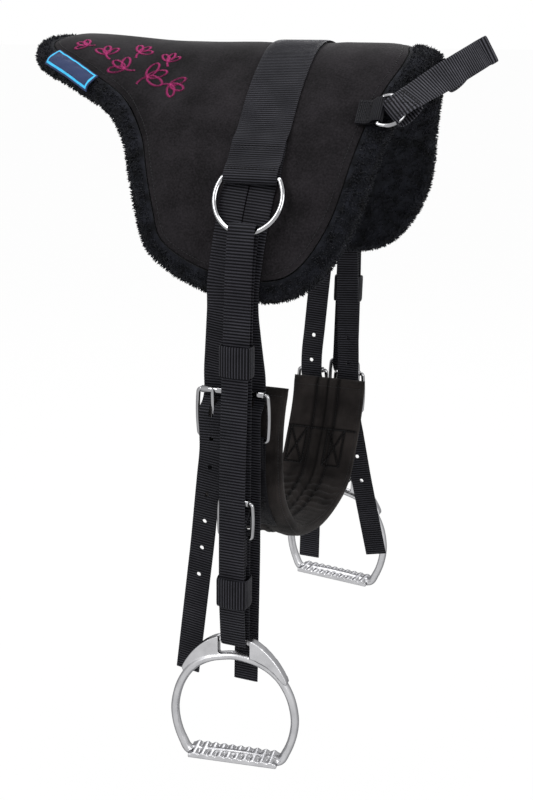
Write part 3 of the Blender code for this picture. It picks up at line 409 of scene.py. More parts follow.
@dataclass
class Webbing:
    """A length of ribbed webbing laid along a route, with punched holes and slots."""

    name: str
    route: Route
    width: float
    thickness: float
    relief: Relief
    cuts: list[Triple] = field(default_factory=list)
    columns: int = 18
    rows_per_rib: int = 4

    def _edge(self, u: Array) -> Array:
        """Share of the thickness at this share of the half width: full inside, thin at the selvedge."""
        return np.clip(1.0 - np.abs(u) ** 14 * 0.62, 0.0, 1.0)

    def _rib(self, along: Array) -> Array:
        """Height share of the ribs at these lengths."""
        wave = 0.5 + 0.5 * np.cos(2 * np.pi * along / self.relief.pitch)
        return wave ** 0.75

    def _place(self, along: Array, u: Array, face: int) -> Array:
        """Points on one face at these lengths and shares of the half width."""
        point, across, through = self.route.sample(along)
        sunk = self.relief.height * (1 - self._rib(along)) * (1 - u ** 10)
        rise = self.thickness / 2 * self._edge(u) - sunk
        edge = 1 + 0.012 * (self._rib(along) - 0.5) * np.abs(u) ** 8
        return point + across * (u * edge * self.width / 2)[..., None] + through * (face * rise)[..., None]

    def _cut(self, along: Array, across: Array) -> Array:
        """Distance outside the nearest cut, less than 0 in it."""
        nearest = np.full(along.shape, 1.0)
        for start, end, radius in self.cuts:
            q = np.clip(along, start, end)
            nearest = np.minimum(nearest, np.hypot(along - q, across) - radius)
        return nearest

    def _snap(self, along: float, across: float) -> tuple[float, float]:
        """The nearest point on the outline of a cut."""
        found = []
        for start, end, radius in self.cuts:
            q = min(max(along, start), end)
            size = math.hypot(along - q, across) or 1e-9
            found.append((abs(size - radius), q + (along - q) * radius / size, across * radius / size))
        return min(found)[1:]

    def build(self, finish: Material, matrix: Matrix | None = None) -> Object:
        """Builds the webbing.

        Args:
            finish: Its material.
            matrix: Where it is moved to.

        Returns:
            The object, with its fabric coordinates in an attribute.
        """
        closed, half = self.route.closed, self.width / 2
        rows = max(4, round(self.route.total / (self.relief.pitch / self.rows_per_rib)))
        count = rows if closed else rows + 1
        along = np.linspace(0, self.route.total, rows + 1)[:count]
        share = np.linspace(-1, 1, self.columns + 1)
        share = np.sign(share) * np.abs(share) ** 0.86
        grid_s, grid_u = np.meshgrid(along, share, indexing="ij")
        cells = np.ones((rows, self.columns), bool)
        if self.cuts:
            centre_s = along + self.route.total / rows / 2 if closed else (along[:-1] + along[1:]) / 2
            mid_s, mid_u = np.meshgrid(centre_s, (share[:-1] + share[1:]) / 2 * half, indexing="ij")
            cells = self._cut(mid_s, mid_u) > 0
            padded = np.pad(cells, 1, constant_values=True)
            for i, j in zip(*np.nonzero(self._cut(grid_s, grid_u * half) < 2.0 * MM)):
                around = padded[i:i + 2, j:j + 2]
                if around.any() and not around.all():
                    s, u = self._snap(float(grid_s[i, j]), float(grid_u[i, j] * half))
                    grid_s[i, j], grid_u[i, j] = s, u / half
        verts = np.vstack([self._place(grid_s, grid_u, face).reshape(-1, 3) for face in (1, -1)])
        lay = np.stack([grid_u * half, grid_s, np.full_like(grid_s, 1.0)], -1).reshape(-1, 3)
        lay = np.vstack([lay, lay * (1, 1, -1)])
        row = np.arange(rows)[:, None]
        a = row * (self.columns + 1) + np.arange(self.columns)
        d = (row + 1) % count * (self.columns + 1) + np.arange(self.columns)
        b, c, under = a + 1, d + 1, grid_s.size
        sides = np.pad(cells, ((0, 0), (1, 1)))
        behind, ahead = np.roll(cells, 1, 0), np.roll(cells, -1, 0)
        if not closed:
            behind[0] = ahead[-1] = False
        faces = [np.stack([a, b, c, d], -1)[cells], np.stack([d, c, b, a], -1)[cells] + under]
        for p, q, held in ((a, d, sides[:, :-2]), (c, b, sides[:, 2:]), (b, a, behind), (d, c, ahead)):
            faces.append(np.stack([p, q, q + under, p + under], -1)[cells & ~held])
        faces = np.vstack(faces)
        used = np.unique(faces)
        faces = np.searchsorted(used, faces).tolist()
        return place(mesh_object(f"{self.name}_ribbed", verts[used], faces, finish, lay[used], 60), matrix)

    def hang(self, body: str, finish: Material, matrix: Matrix | None = None) -> None:
        """Builds the webbing and hangs it on its body in place of the node of its name."""
        show(self.build(finish, matrix), body, self.name, slot="webbing")


def ring_faces(rings: int, around: int, closed: bool = False) -> Faces:
    """Faces between neighbouring rings of vertices.

    Args:
        rings: Number of rings.
        around: Vertices in each ring.
        closed: Whether the last ring meets the first.

    Returns:
        The faces, ring by ring.
    """
    return [(i * around + j, i * around + (j + 1) % around, (i + 1) % rings * around + (j + 1) % around,
        (i + 1) % rings * around + j) for i in range(rings if closed else rings - 1) for j in range(around)]


def plate(top: Array, low: Array) -> tuple[Array, Faces]:
    """Closes two grids of points of one size to a plate.

    Args:
        top: Grid of the upper face.
        low: Grid of the lower face.

    Returns:
        The plate's vertices and faces.
    """
    index = np.arange(top.shape[0] * top.shape[1]).reshape(top.shape[:2])
    quads = np.stack([index[:-1, :-1], index[:-1, 1:], index[1:, 1:], index[1:, :-1]], -1).reshape(-1, 4)
    rim = np.concatenate([index[:, 0], index[-1, 1:], index[-2::-1, -1], index[0, -2:0:-1]])
    ahead = np.roll(rim, -1)
    wall = np.stack([rim, ahead, ahead + index.size, rim + index.size], -1)
    faces = np.vstack([quads, quads[:, ::-1] + index.size, wall]).tolist()
    return np.vstack([top.reshape(-1, 3), low.reshape(-1, 3)]), faces


def sweep(name: str, route: Route, section: Callable[[float], Outline],
          finish: Material, rings: int, matrix: Matrix | None = None) -> Object:
    """Carries a section along a route.

    Args:
        name: Name of the object.
        route: The route.
        section: (across, through) pairs at a share of the length.
        finish: Its material.
        rings: Number of rings.
        matrix: Where it is moved to.

    Returns:
        The closed solid.
    """
    shares = np.linspace(0, 1, rings + 1)
    if route.closed:
        shares = shares[:-1]
    points, across, through = route.sample(shares * route.total)
    sections = np.array([section(float(t)) for t in shares])
    verts = points[:, None] + across[:, None] * sections[..., :1] + through[:, None] * sections[..., 1:]
    around, count = sections.shape[1], len(shares)
    faces = ring_faces(count, around, route.closed)
    if not route.closed:
        faces += [list(range(around)), [(count - 1) * around + j for j in range(around)]]
    return place(mesh_object(name, verts.reshape(-1, 3), faces, finish, None, 40), matrix)


def round_section(across: float, through: float, count: int) -> Outline:
    """An oval section."""
    angles = (2 * math.pi * k / count for k in range(count))
    return [(across * math.cos(a), through * math.sin(a)) for a in angles]


def slot_cut(places: Sequence[float]) -> Triple:
    """The cut of a slot between two lengths."""
    return places[0] + SLOT_RADIUS, places[1] - SLOT_RADIUS, SLOT_RADIUS


def wire(name: str, path: Sequence[Vector], radius: float, finish: Material, closed: bool = True,
         hint: Vector = X_AXIS, rings: int = 120, matrix: Matrix | None = None) -> Object:
    """A round wire along a path."""
    route = Route.through_points(path, hint, closed, 0.6 * MM)
    return sweep(name, route, lambda t: round_section(radius, radius, 16), finish, rings, matrix)


# Node trees

class Nodes:
    """A node tree with short calls to build it."""

    def __init__(self, tree: NodeTree) -> None:
        """Takes the tree."""
        self.tree = tree

    def add(self, kind: str, inputs: dict[str | int, object] | None = None, **values: object) -> Node:
        """Adds a node.

        Args:
            kind: Its type.
            inputs: Its inputs by name or number, each linked to a socket or set to a value.
            values: Its properties, set before its inputs.

        Returns:
            The node.
        """
        node = self.tree.nodes.new(kind)
        for key, value in values.items():
            setattr(node, key, value)
        for key, value in (inputs or {}).items():
            if isinstance(value, NodeSocket):
                self.tree.links.new(value, node.inputs[key])
            else:
                node.inputs[key].default_value = value
        return node

    def math(self, operation: str, *terms: NodeSocket | float) -> NodeSocket:
        """A Math node on sockets or numbers."""
        return self.add("ShaderNodeMath", dict(enumerate(terms)), operation=operation).outputs[0]

    def split(self, vector: NodeSocket) -> Sequence[NodeSocket]:
        """A vector's X, Y and Z."""
        return self.add("ShaderNodeSeparateXYZ", {"Vector": vector}).outputs

    def noise(self, vector: NodeSocket, scale: NodeSocket | float, detail: float = 3.0) -> NodeSocket:
        """Noise from 0 to 1, with this many features a metre."""
        given = {"Vector": vector, "Scale": scale, "Detail": detail}
        return self.add("ShaderNodeTexNoise", given).outputs["Fac"]

    def remap(self, value: NodeSocket, low: float, high: float, to_low: float = 0.0,
              to_high: float = 1.0) -> NodeSocket:
        """Value moved from one range to another, clamped."""
        given = {"Value": value, "From Min": low, "From Max": high, "To Min": to_low, "To Max": to_high}
        return self.add("ShaderNodeMapRange", given).outputs["Result"]


class GeometryTree(Nodes):
    """A Geometry Nodes tree that is run once on an object and leaves a plain mesh."""

    def __init__(self, name: str) -> None:
        """Makes an empty tree with a geometry input and output."""
        super().__init__(bpy.data.node_groups.new(name, "GeometryNodeTree"))
        self.sockets: dict[str, str] = {}
        for way in ("INPUT", "OUTPUT"):
            self.tree.interface.new_socket("Geometry", in_out=way, socket_type="NodeSocketGeometry")
        self.source = self.add("NodeGroupInput")
        self.geometry = self.source.outputs["Geometry"]

    def value(self, name: str, default: float) -> NodeSocket:
        """Adds a named number to the tree's inputs and returns its socket inside the tree."""
        made = self.tree.interface.new_socket(name, in_out="INPUT", socket_type="NodeSocketFloat")
        made.default_value = default
        self.sockets[name] = made.identifier
        return self.source.outputs[name]

    def random(self, step: int, low: float | Triple, high: float | Triple) -> NodeSocket:
        """Random numbers or vectors between two, with a seed of their own."""
        first = 0 if isinstance(low, tuple) else 2
        return self.add("FunctionNodeRandomValue", {first: low, first + 1: high, "Seed": SEED + step},
                        data_type="FLOAT" if first else "FLOAT_VECTOR").outputs[first // 2]

    def end(self, geometry: NodeSocket, finish: Material) -> "GeometryTree":
        """Ends the tree in Realize Instances and Set Material."""
        real = self.add("GeometryNodeRealizeInstances", {"Geometry": geometry})
        dress = self.add("GeometryNodeSetMaterial", {"Geometry": real.outputs[0], "Material": finish})
        self.add("NodeGroupOutput", {"Geometry": dress.outputs[0]})
        return self

    def run(self, obj: Object, name: str, finish: Material, **sizes: float) -> Object:
        """Runs the tree on an object, which is removed.

        Args:
            obj: The object that the tree starts from.
            name: Name of the result.
            finish: Material of the result.
            sizes: Values of the tree's named inputs.

        Returns:
            The result as a plain mesh at the origin.
        """
        modifier = obj.modifiers.new(name, "NODES")
        modifier.node_group = self.tree
        for key, size in sizes.items():
            modifier[self.sockets[key]] = size
        mesh = plain_mesh(obj, finish)
        mesh.name = name
        bpy.data.objects.remove(obj)
        return link(name, mesh)


def line_object(lines: Sequence[Sequence[Vector]]) -> Object:
    """An object of edges only, one run of edges for each line, for a tree to follow."""
    verts, edges = [], []
    for line in lines:
        edges += [(len(verts) + k, len(verts) + k + 1) for k in range(len(line) - 1)]
        verts += [tuple(v) for v in line]
    return raw_object("line", verts, edges, [])


def stitch_tree(finish: Material) -> GeometryTree:
    """A row of lock stitches along each line: short round threads a little apart."""
    kit = GeometryTree("lock_stitch_rows")
    pitch, length, radius = (kit.value(*size) for size in (("Pitch", 3.0 * MM), ("Length", 2.2 * MM),
                                                           ("Radius", 0.35 * MM)))
    line = kit.add("GeometryNodeMeshToCurve", {"Mesh": kit.geometry})
    rows = kit.add("GeometryNodeCurveToPoints", {"Curve": line.outputs[0], "Length": pitch},
        mode="LENGTH").outputs
    thread = kit.add("GeometryNodeMeshUVSphere", {"Segments": 6, "Rings": 4, "Radius": radius})
    longer = kit.math("MULTIPLY", kit.math("DIVIDE", length, radius), 0.5)
    size = kit.add("ShaderNodeCombineXYZ", {"X": 1.0, "Y": 1.0, "Z": longer})
    spread = kit.add("GeometryNodeInstanceOnPoints",
        {"Points": rows["Points"], "Instance": thread.outputs["Mesh"], "Rotation": rows["Rotation"],
        "Scale": size.outputs[0]})
    return kit.end(spread.outputs[0], finish)


def thread_tree(finish: Material) -> GeometryTree:
    """A round thread along each line, for satin stitch."""
    kit = GeometryTree("laid_thread")
    radius = kit.value("Radius", 0.3 * MM)
    profile = kit.add("GeometryNodeCurvePrimitiveCircle", {"Resolution": 5, "Radius": radius}, mode="RADIUS")
    line = kit.add("GeometryNodeMeshToCurve", {"Mesh": kit.geometry})
    tube = kit.add("GeometryNodeCurveToMesh", {"Curve": line.outputs[0], "Profile Curve": profile.outputs[0],
                                               "Fill Caps": True})
    return kit.end(tube.outputs[0], finish)


def tuft_object() -> Object:
    """One bent, tapering tuft of fleece, 1 unit long along Z."""
    rings = ((0.0, 0.22, 0.0), (0.55, 0.19, 0.14))
    verts = [(r * math.cos(a) + bend, r * math.sin(a), height) for height, r, bend in rings
             for a in (0.0, 2 * math.pi / 3, 4 * math.pi / 3)]
    faces = ring_faces(2, 3) + [(3, 4, 6), (4, 5, 6), (5, 3, 6)]
    tuft = raw_object("tuft", verts + [(0.42, 0.0, 1.0)], [], faces)
    tuft.data.shade_smooth()
    return tuft


def pile_tree(finish: Material, tuft: Object) -> GeometryTree:
    """Tufts of pile all over a surface, each with its own lean, size and shade."""
    kit = GeometryTree("fleece_pile")
    density, length, lean = (kit.value(*size) for size in (("Density", 150000.0), ("Length", 4.5 * MM),
                                                           ("Lean", 0.6)))
    scatter = kit.add("GeometryNodeDistributePointsOnFaces", {
        "Mesh": kit.geometry, "Density": density, "Seed": SEED}, distribute_method="RANDOM").outputs
    shape = kit.add("GeometryNodeObjectInfo", {"Object": tuft})
    tilt = kit.random(1, (-1.0, -1.0, -1.0), (1.0, 1.0, 1.0))
    leaning = kit.add("ShaderNodeVectorMath", {0: tilt, "Scale": lean}, operation="SCALE").outputs[0]
    away = kit.add("ShaderNodeVectorMath", {0: scatter["Normal"], 1: leaning}, operation="ADD").outputs[0]
    turned = kit.add("FunctionNodeAlignRotationToVector", {"Vector": away}, axis="Z").outputs[0]
    about = kit.add("ShaderNodeCombineXYZ", {"Z": kit.random(2, 0.0, 6.28)}).outputs[0]
    both = kit.add("FunctionNodeRotateRotation", {"Rotation": turned, "Rotate By": about},
        rotation_space="LOCAL")
    size = kit.math("MULTIPLY", kit.random(3, 0.65, 1.25), length)
    spread = kit.add("GeometryNodeInstanceOnPoints", {
        "Points": scatter["Points"], "Instance": shape.outputs["Geometry"], "Rotation": both.outputs[0],
        "Scale": size}).outputs[0]
    store = kit.add("GeometryNodeStoreNamedAttribute",
        {"Name": SHADE, "Value": kit.random(4, 0.0, 1.0), "Geometry": spread}, data_type="FLOAT",
        domain="INSTANCE")
    return kit.end(store.outputs[0], finish)


# Finishes

class Shader(Nodes):
    """A material with a Principled BSDF and short calls to build it."""

    def __init__(self, name: str, **sockets: float) -> None:
        """Makes the material and sets the surface's own sockets, with spaces as underscores."""
        self.material = bpy.data.materials.new(name)
        self.material.use_nodes = True
        super().__init__(self.material.node_tree)
        self.surface = self.tree.nodes["Principled BSDF"]
        for key, value in sockets.items():
            self.surface.inputs[key.replace("_", " ")].default_value = value

    def coordinates(self) -> NodeSocket:
        """Object coordinates, in metres."""
        return self.add("ShaderNodeTexCoord").outputs["Object"]

    def lay(self) -> NodeSocket:
        """The fabric coordinates of the piece, in metres."""
        return self.add("ShaderNodeAttribute", attribute_name=LAY).outputs["Vector"]

    def mix(self, share: NodeSocket, a: Triple | NodeSocket, b: Triple | NodeSocket) -> NodeSocket:
        """A colour between two by share."""
        colours = [(*c, 1.0) if isinstance(c, tuple) else c for c in (a, b)]
        return self.add("ShaderNodeMix", {0: share, 6: colours[0], 7: colours[1]},
            data_type="RGBA").outputs[2]

    def group(self, tree: NodeTree, vector: NodeSocket, **values: float) -> Sequence[NodeSocket]:
        """The outputs of a shared node group with its own values."""
        return self.add("ShaderNodeGroup", {"Vector": vector, **values}, node_tree=tree).outputs

    def end(self, colour: NodeSocket, height: NodeSocket, distance: float, strength: float,
            rough: NodeSocket | None = None) -> Material:
        """Feeds the surface and returns the material.

        Args:
            colour: The base colour.
            height: The relief.
            distance: Height of the full relief.
            strength: Strength of the relief.
            rough: The roughness, if it varies.

        Returns:
            The material.
        """
        bump = self.add("ShaderNodeBump", {"Distance": distance, "Strength": strength, "Height": height})
        for key, socket in (("Base Color", colour), ("Normal", bump.outputs["Normal"]), ("Roughness", rough)):
            if socket:
                self.tree.links.new(socket, self.surface.inputs[key])
        return self.material


def group_tree(name: str, numbers: dict[str, float], outputs: Sequence[str]) -> tuple[Nodes, object]:
    """Starts a shader group.

    Args:
        name: Name of the group.
        numbers: Its number inputs beside the vector, with their defaults.
        outputs: Its number outputs.

    Returns:
        The group's tree and the sockets of its inputs.
    """
    tree = bpy.data.node_groups.new(name, "ShaderNodeTree")
    tree.interface.new_socket("Vector", in_out="INPUT", socket_type="NodeSocketVector")
    for key, default in numbers.items():
        tree.interface.new_socket(key, in_out="INPUT", socket_type="NodeSocketFloat").default_value = default
    for key in outputs:
        tree.interface.new_socket(key, in_out="OUTPUT", socket_type="NodeSocketFloat")
    return Nodes(tree), tree.nodes.new("NodeGroupInput").outputs


def weave_group() -> NodeTree:
    """Crossing yarns on the vector's X and Y, each with its own threads a metre, roughened by slubs."""
    kit, given = group_tree("crossing_yarns", {"Warp": 2000.0, "Weft": 1500.0, "Slub": 0.3},
        ("Height", "Mask"))
    parts = kit.split(given["Vector"])
    waves = [kit.math("SINE", kit.math("MULTIPLY", kit.math("MULTIPLY", parts[axis], given[density]),
        2 * math.pi)) for axis, density in (("X", "Warp"), ("Y", "Weft"))]
    mask = kit.remap(kit.math("MULTIPLY", *waves), -1.0, 1.0)
    rough = kit.math("MULTIPLY", kit.noise(given["Vector"], 900.0, 2.0), given["Slub"])
    kit.add("NodeGroupOutput", {"Height": kit.math("ADD", mask, rough), "Mask": mask})
    return kit.tree


def handling_group() -> NodeTree:
    """Broad cloudy patches with fine grain, as left by brushing, dust and handling."""
    kit, given = group_tree("brushed_patches", {"Patch": 30.0, "Grain": 900.0}, ("Patches", "Fine"))
    kit.add("NodeGroupOutput", {"Patches": kit.noise(given["Vector"], given["Patch"], 4.0),
                                "Fine": kit.noise(given["Vector"], given["Grain"], 2.0)})
    return kit.tree


class Groups:
    """The shader groups that several finishes use."""

    def __init__(self) -> None:
        """Builds each group once."""
        self.weave = weave_group()
        self.handling = handling_group()


@dataclass(frozen=True)
class SuedeFinish:
    """Matt synthetic suede with brushed patches and a short nap."""

    dark: Triple = (0.0055, 0.0050, 0.0056)
    light: Triple = (0.0178, 0.0158, 0.0180)

    def build(self, groups: Groups) -> Material:
        """Builds the material."""
        s = Shader("suede", Sheen_Weight=0.06, Sheen_Roughness=0.5, Specular_IOR_Level=0.03)
        where = s.coordinates()
        patches = s.group(groups.handling, where, Patch=26.0, Grain=560.0)
        fine = s.remap(patches["Fine"], 0.3, 0.75, -0.36, 0.40)
        share = s.math("ADD", s.remap(patches["Patches"], 0.29, 0.77), fine)
        nap = s.math("ADD", patches["Fine"], s.math("MULTIPLY", s.noise(where, 420.0), 0.7))
        return s.end(s.mix(share, self.dark, self.light), nap, 0.20 * MM, 0.7,
                     s.remap(patches["Patches"], 0.3, 0.7, 0.95, 0.78))


@dataclass(frozen=True)
class FleeceFinish:
    """Deep dark fleece. The tufts carry their own shade."""

    deep: Triple = (0.0020, 0.0023, 0.0032)
    tip: Triple = (0.0125, 0.0135, 0.0185)
    tufts: bool = False

    def build(self, groups: Groups) -> Material:
        """Builds the material of the backing or of the tufts."""
        s = Shader("fleece_tufts" if self.tufts else "fleece", Sheen_Weight=0.05, Sheen_Roughness=0.6,
            Roughness=0.95, Specular_IOR_Level=0.04)
        patches = s.group(groups.handling, s.coordinates(), Patch=90.0, Grain=1200.0)
        share = s.remap(patches["Patches"], 0.35, 0.72)
        if self.tufts:
            own = s.add("ShaderNodeAttribute", attribute_name=SHADE).outputs["Fac"]
            share = s.math("MULTIPLY", s.math("ADD", share, own), 0.6)
        return s.end(s.mix(share, self.deep, self.tip), patches["Fine"], 0.4 * MM, 0.8)


@dataclass(frozen=True)
class WebbingFinish:
    """Black polyester webbing: yarns over the cross ribs, with painted highlights on the rib crests and
    painted shade in the grooves between them.
    """

    name: str
    pitch: float
    # The first colour is the black darkened as painted shade in the grooves, the second a painted highlight
    # on the rib crests.
    ground: Triple = (0.0010, 0.0010, 0.0016)
    crest_highlight: Triple = (0.050, 0.050, 0.060)

    def build(self, groups: Groups) -> Material:
        """Builds the material."""
        s = Shader(self.name, Sheen_Weight=0.03, Sheen_Roughness=0.4, Specular_IOR_Level=0.06)
        where = s.lay()
        yarns = s.group(groups.weave, where, Warp=900.0, Weft=2.0 / self.pitch, Slub=0.5)
        worn = s.group(groups.handling, where, Patch=38.0, Grain=1500.0)
        # Painted light by rib phase: lighter on the crests, darker in the grooves.
        phase = s.math("MULTIPLY", s.split(where)["Y"], 2 * math.pi / self.pitch)
        rib = s.math("POWER", s.remap(s.math("COSINE", phase), -1.0, 1.0), 1.7)
        share = s.math("MULTIPLY", rib, s.remap(worn["Patches"], 0.3, 0.75, 0.60, 1.0))
        share = s.math("MULTIPLY", share, s.remap(yarns["Mask"], 0.0, 1.0, 0.65, 1.0))
        return s.end(s.mix(share, self.ground, self.crest_highlight), yarns["Height"], 0.10 * MM, 0.9,
                     s.remap(worn["Patches"], 0.3, 0.7, 0.62, 0.46))


@dataclass(frozen=True)
class GirthFinish:
    """Matt dark brown-black woven cloth of the girth, with painted shade along its grooves, channels and seam
    puckers.
    """

    # The tone runs from dark to light with random patches and the weave; the grooves and seam puckers are
    # drawn towards dark as painted shade.
    dark: Triple = (0.0030, 0.0026, 0.0026)
    light: Triple = (0.0275, 0.0235, 0.0225)
    seam: float = 12.3 * MM

    def build(self, groups: Groups) -> Material:
        """Builds the material."""
        s = Shader("girth_cloth", Sheen_Weight=0.04, Sheen_Roughness=0.5, Specular_IOR_Level=0.04)
        lay = s.lay()
        parts = s.split(lay)
        yarns = s.group(groups.weave, lay, Warp=750.0, Weft=750.0, Slub=0.6)
        worn = s.group(groups.handling, s.coordinates(), Patch=34.0, Grain=1000.0)
        share = s.math("MULTIPLY", s.remap(worn["Patches"], 0.32, 0.72, 0.15, 1.0), yarns["Height"])
        # Painted shade: darker along the middle groove and along the sewn channels this seam offset out.
        aside = s.math("ABSOLUTE", parts["X"])
        for seam, spread in ((0.0, 2.5 * MM), (self.seam, 4.0 * MM)):
            away = s.math("ABSOLUTE", s.math("SUBTRACT", aside, seam))
            share = s.math("MULTIPLY", share, s.remap(away, 0.0, spread))
        # Painted shade where the box seams pucker the quilting, from the mask in lay's third value.
        share = s.math("MULTIPLY", share, s.remap(parts["Z"], 0.1 * MM, 0.8 * MM, 1.0, 0.0))
        height = s.math("ADD", yarns["Height"], worn["Patches"])
        return s.end(s.mix(s.math("MULTIPLY", share, 1.1), self.dark, self.light), height, 0.22 * MM, 0.8,
                     s.remap(worn["Fine"], 0.3, 0.7, 0.85, 0.7))


@dataclass(frozen=True)
class SteelFinish:
    """Bare metal, bright plated or satin, with fine rubbing marks and a painted dark reflection towards its
    edges.
    """

    name: str
    dull: Triple
    bright: Triple
    # rim is a painted dark reflection, mixed in from the facing value on towards the silhouette.
    rim: Triple
    facing: float
    smooth: float
    rubbed: float
    grain: float

    def build(self, groups: Groups) -> Material:
        """Builds the material."""
        s = Shader(self.name, Metallic=1.0)
        worn = s.group(groups.handling, s.coordinates(), Patch=70.0, Grain=self.grain)
        face = s.mix(s.remap(worn["Patches"], 0.35, 0.65), self.dull, self.bright)
        # Painted reflection: the colour darkens to the rim colour at grazing angles, standing in for dark
        # surroundings mirrored in the metal.
        turned = s.add("ShaderNodeLayerWeight", {"Blend": 0.5}).outputs["Facing"]
        colour = s.mix(s.remap(turned, self.facing, self.facing + 0.5), face, self.rim)
        return s.end(colour, worn["Fine"], 0.006 * MM, 0.35,
            s.remap(worn["Patches"], 0.3, 0.7, self.rubbed, self.smooth))


@dataclass(frozen=True)
class ThreadFinish:
    """Spun sewing or embroidery thread."""

    name: str
    dark: Triple
    light: Triple

    def build(self, groups: Groups) -> Material:
        """Builds the material."""
        s = Shader(self.name, Sheen_Weight=0.05, Roughness=0.55, Specular_IOR_Level=0.12)
        fine = s.group(groups.handling, s.coordinates(), Patch=300.0, Grain=2500.0)["Fine"]
        return s.end(s.mix(s.remap(fine, 0.3, 0.7), self.dark, self.light), fine, 0.08 * MM, 0.7)


@dataclass(frozen=True)
class LabelFinish:
    """Bare woven label with a bright border. Fabric coordinates run from 0 to 1 over its face."""

    face: Triple = (0.022, 0.032, 0.075)
    border: Triple = (0.055, 0.46, 0.78)
    band_x: float = 0.030
    band_y: float = 0.085

    def build(self, groups: Groups) -> Material:
        """Builds the material."""
        s = Shader("label_cloth", Sheen_Weight=0.05, Roughness=0.6, Specular_IOR_Level=0.08)
        parts = s.split(s.lay())
        outer, inner = [], []
        for axis, band in (("X", self.band_x), ("Y", self.band_y)):
            away = s.math("ABSOLUTE", s.math("SUBTRACT", parts[axis], 0.5))
            outer.append(s.math("LESS_THAN", away, 0.5 - band * 0.7))
            inner.append(s.math("GREATER_THAN", away, 0.5 - band * 1.7))
        edge = s.math("MULTIPLY", s.math("MAXIMUM", *inner), s.math("MULTIPLY", *outer))
        yarns = s.group(groups.weave, s.coordinates(), Warp=1300.0, Weft=1300.0, Slub=0.5)
        face = s.mix(yarns["Mask"], self.face, tuple(c * 1.5 for c in self.face))
        return s.end(s.mix(edge, face, self.border), yarns["Height"], 0.15 * MM, 0.8)


class Finishes:
    """All finishes of the pad, and the trees that use them, built once."""

    def __init__(self) -> None:
        """Builds the materials and the trees."""
        groups = Groups()

        def steel(name: str, dull: Triple, bright: Triple, rim: Triple, *sizes: float) -> Material:
            """A metal finish."""
            return SteelFinish(name, dull, bright, rim, *sizes).build(groups)

        def ribbed(name: str, kind: Relief, **crest_highlight: Triple) -> Material:
            """A webbing finish."""
            return WebbingFinish(f"webbing_{name}", kind.pitch, **crest_highlight).build(groups)

        self.suede = SuedeFinish().build(groups)
        self.fleece = FleeceFinish().build(groups)
        self.tufts = FleeceFinish(tufts=True).build(groups)
        self.webbing = {kind: ribbed(kind.name.lower(), kind)
            for kind in (Relief.WIDE, Relief.STRAP, Relief.BILLET)}
        # Painted crest highlights, weaker on the fine webbing and stronger on the grab handle.
        self.webbing[Relief.FINE] = ribbed("fine", Relief.FINE, crest_highlight=(0.026, 0.026, 0.031))
        self.handle = ribbed("handle", Relief.STRAP, crest_highlight=(0.095, 0.095, 0.112))
        self.girth = GirthFinish().build(groups)
        # The third colour of each metal is its painted dark reflection towards the edges.
        self.plated = steel("plated_steel", (0.29, 0.29, 0.30), (0.35, 0.35, 0.36), (0.012, 0.012, 0.015),
                            0.20, 0.07, 0.11, 1500.0)
        self.satin = steel("satin_steel", (0.48, 0.48, 0.495), (0.57, 0.57, 0.585), (0.05, 0.05, 0.06),
                           0.25, 0.30, 0.38, 2200.0)
        self.thread = ThreadFinish("sewing_thread", (0.006, 0.006, 0.007),
            (0.020, 0.020, 0.022)).build(groups)
        self.pink = ThreadFinish("pink_thread", (0.22, 0.012, 0.080), (0.42, 0.035, 0.17)).build(groups)
        self.label = LabelFinish().build(groups)
        self.stitches = stitch_tree(self.thread)
        self.laid = thread_tree(self.pink)
        self.tuft = tuft_object()
        self.pile = pile_tree(self.tufts, self.tuft)


def show(obj: Object, body: str, *nodes: str, slot: str | None = None) -> Object:
    """Hangs a finished piece on its body and lets it stand for its nodes."""
    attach(obj, body)
    if nodes:
        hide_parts(*nodes)
    LOG.info("%s rides on %s, %d faces", obj.name, body, len(obj.data.polygons))
    return obj


# Seat

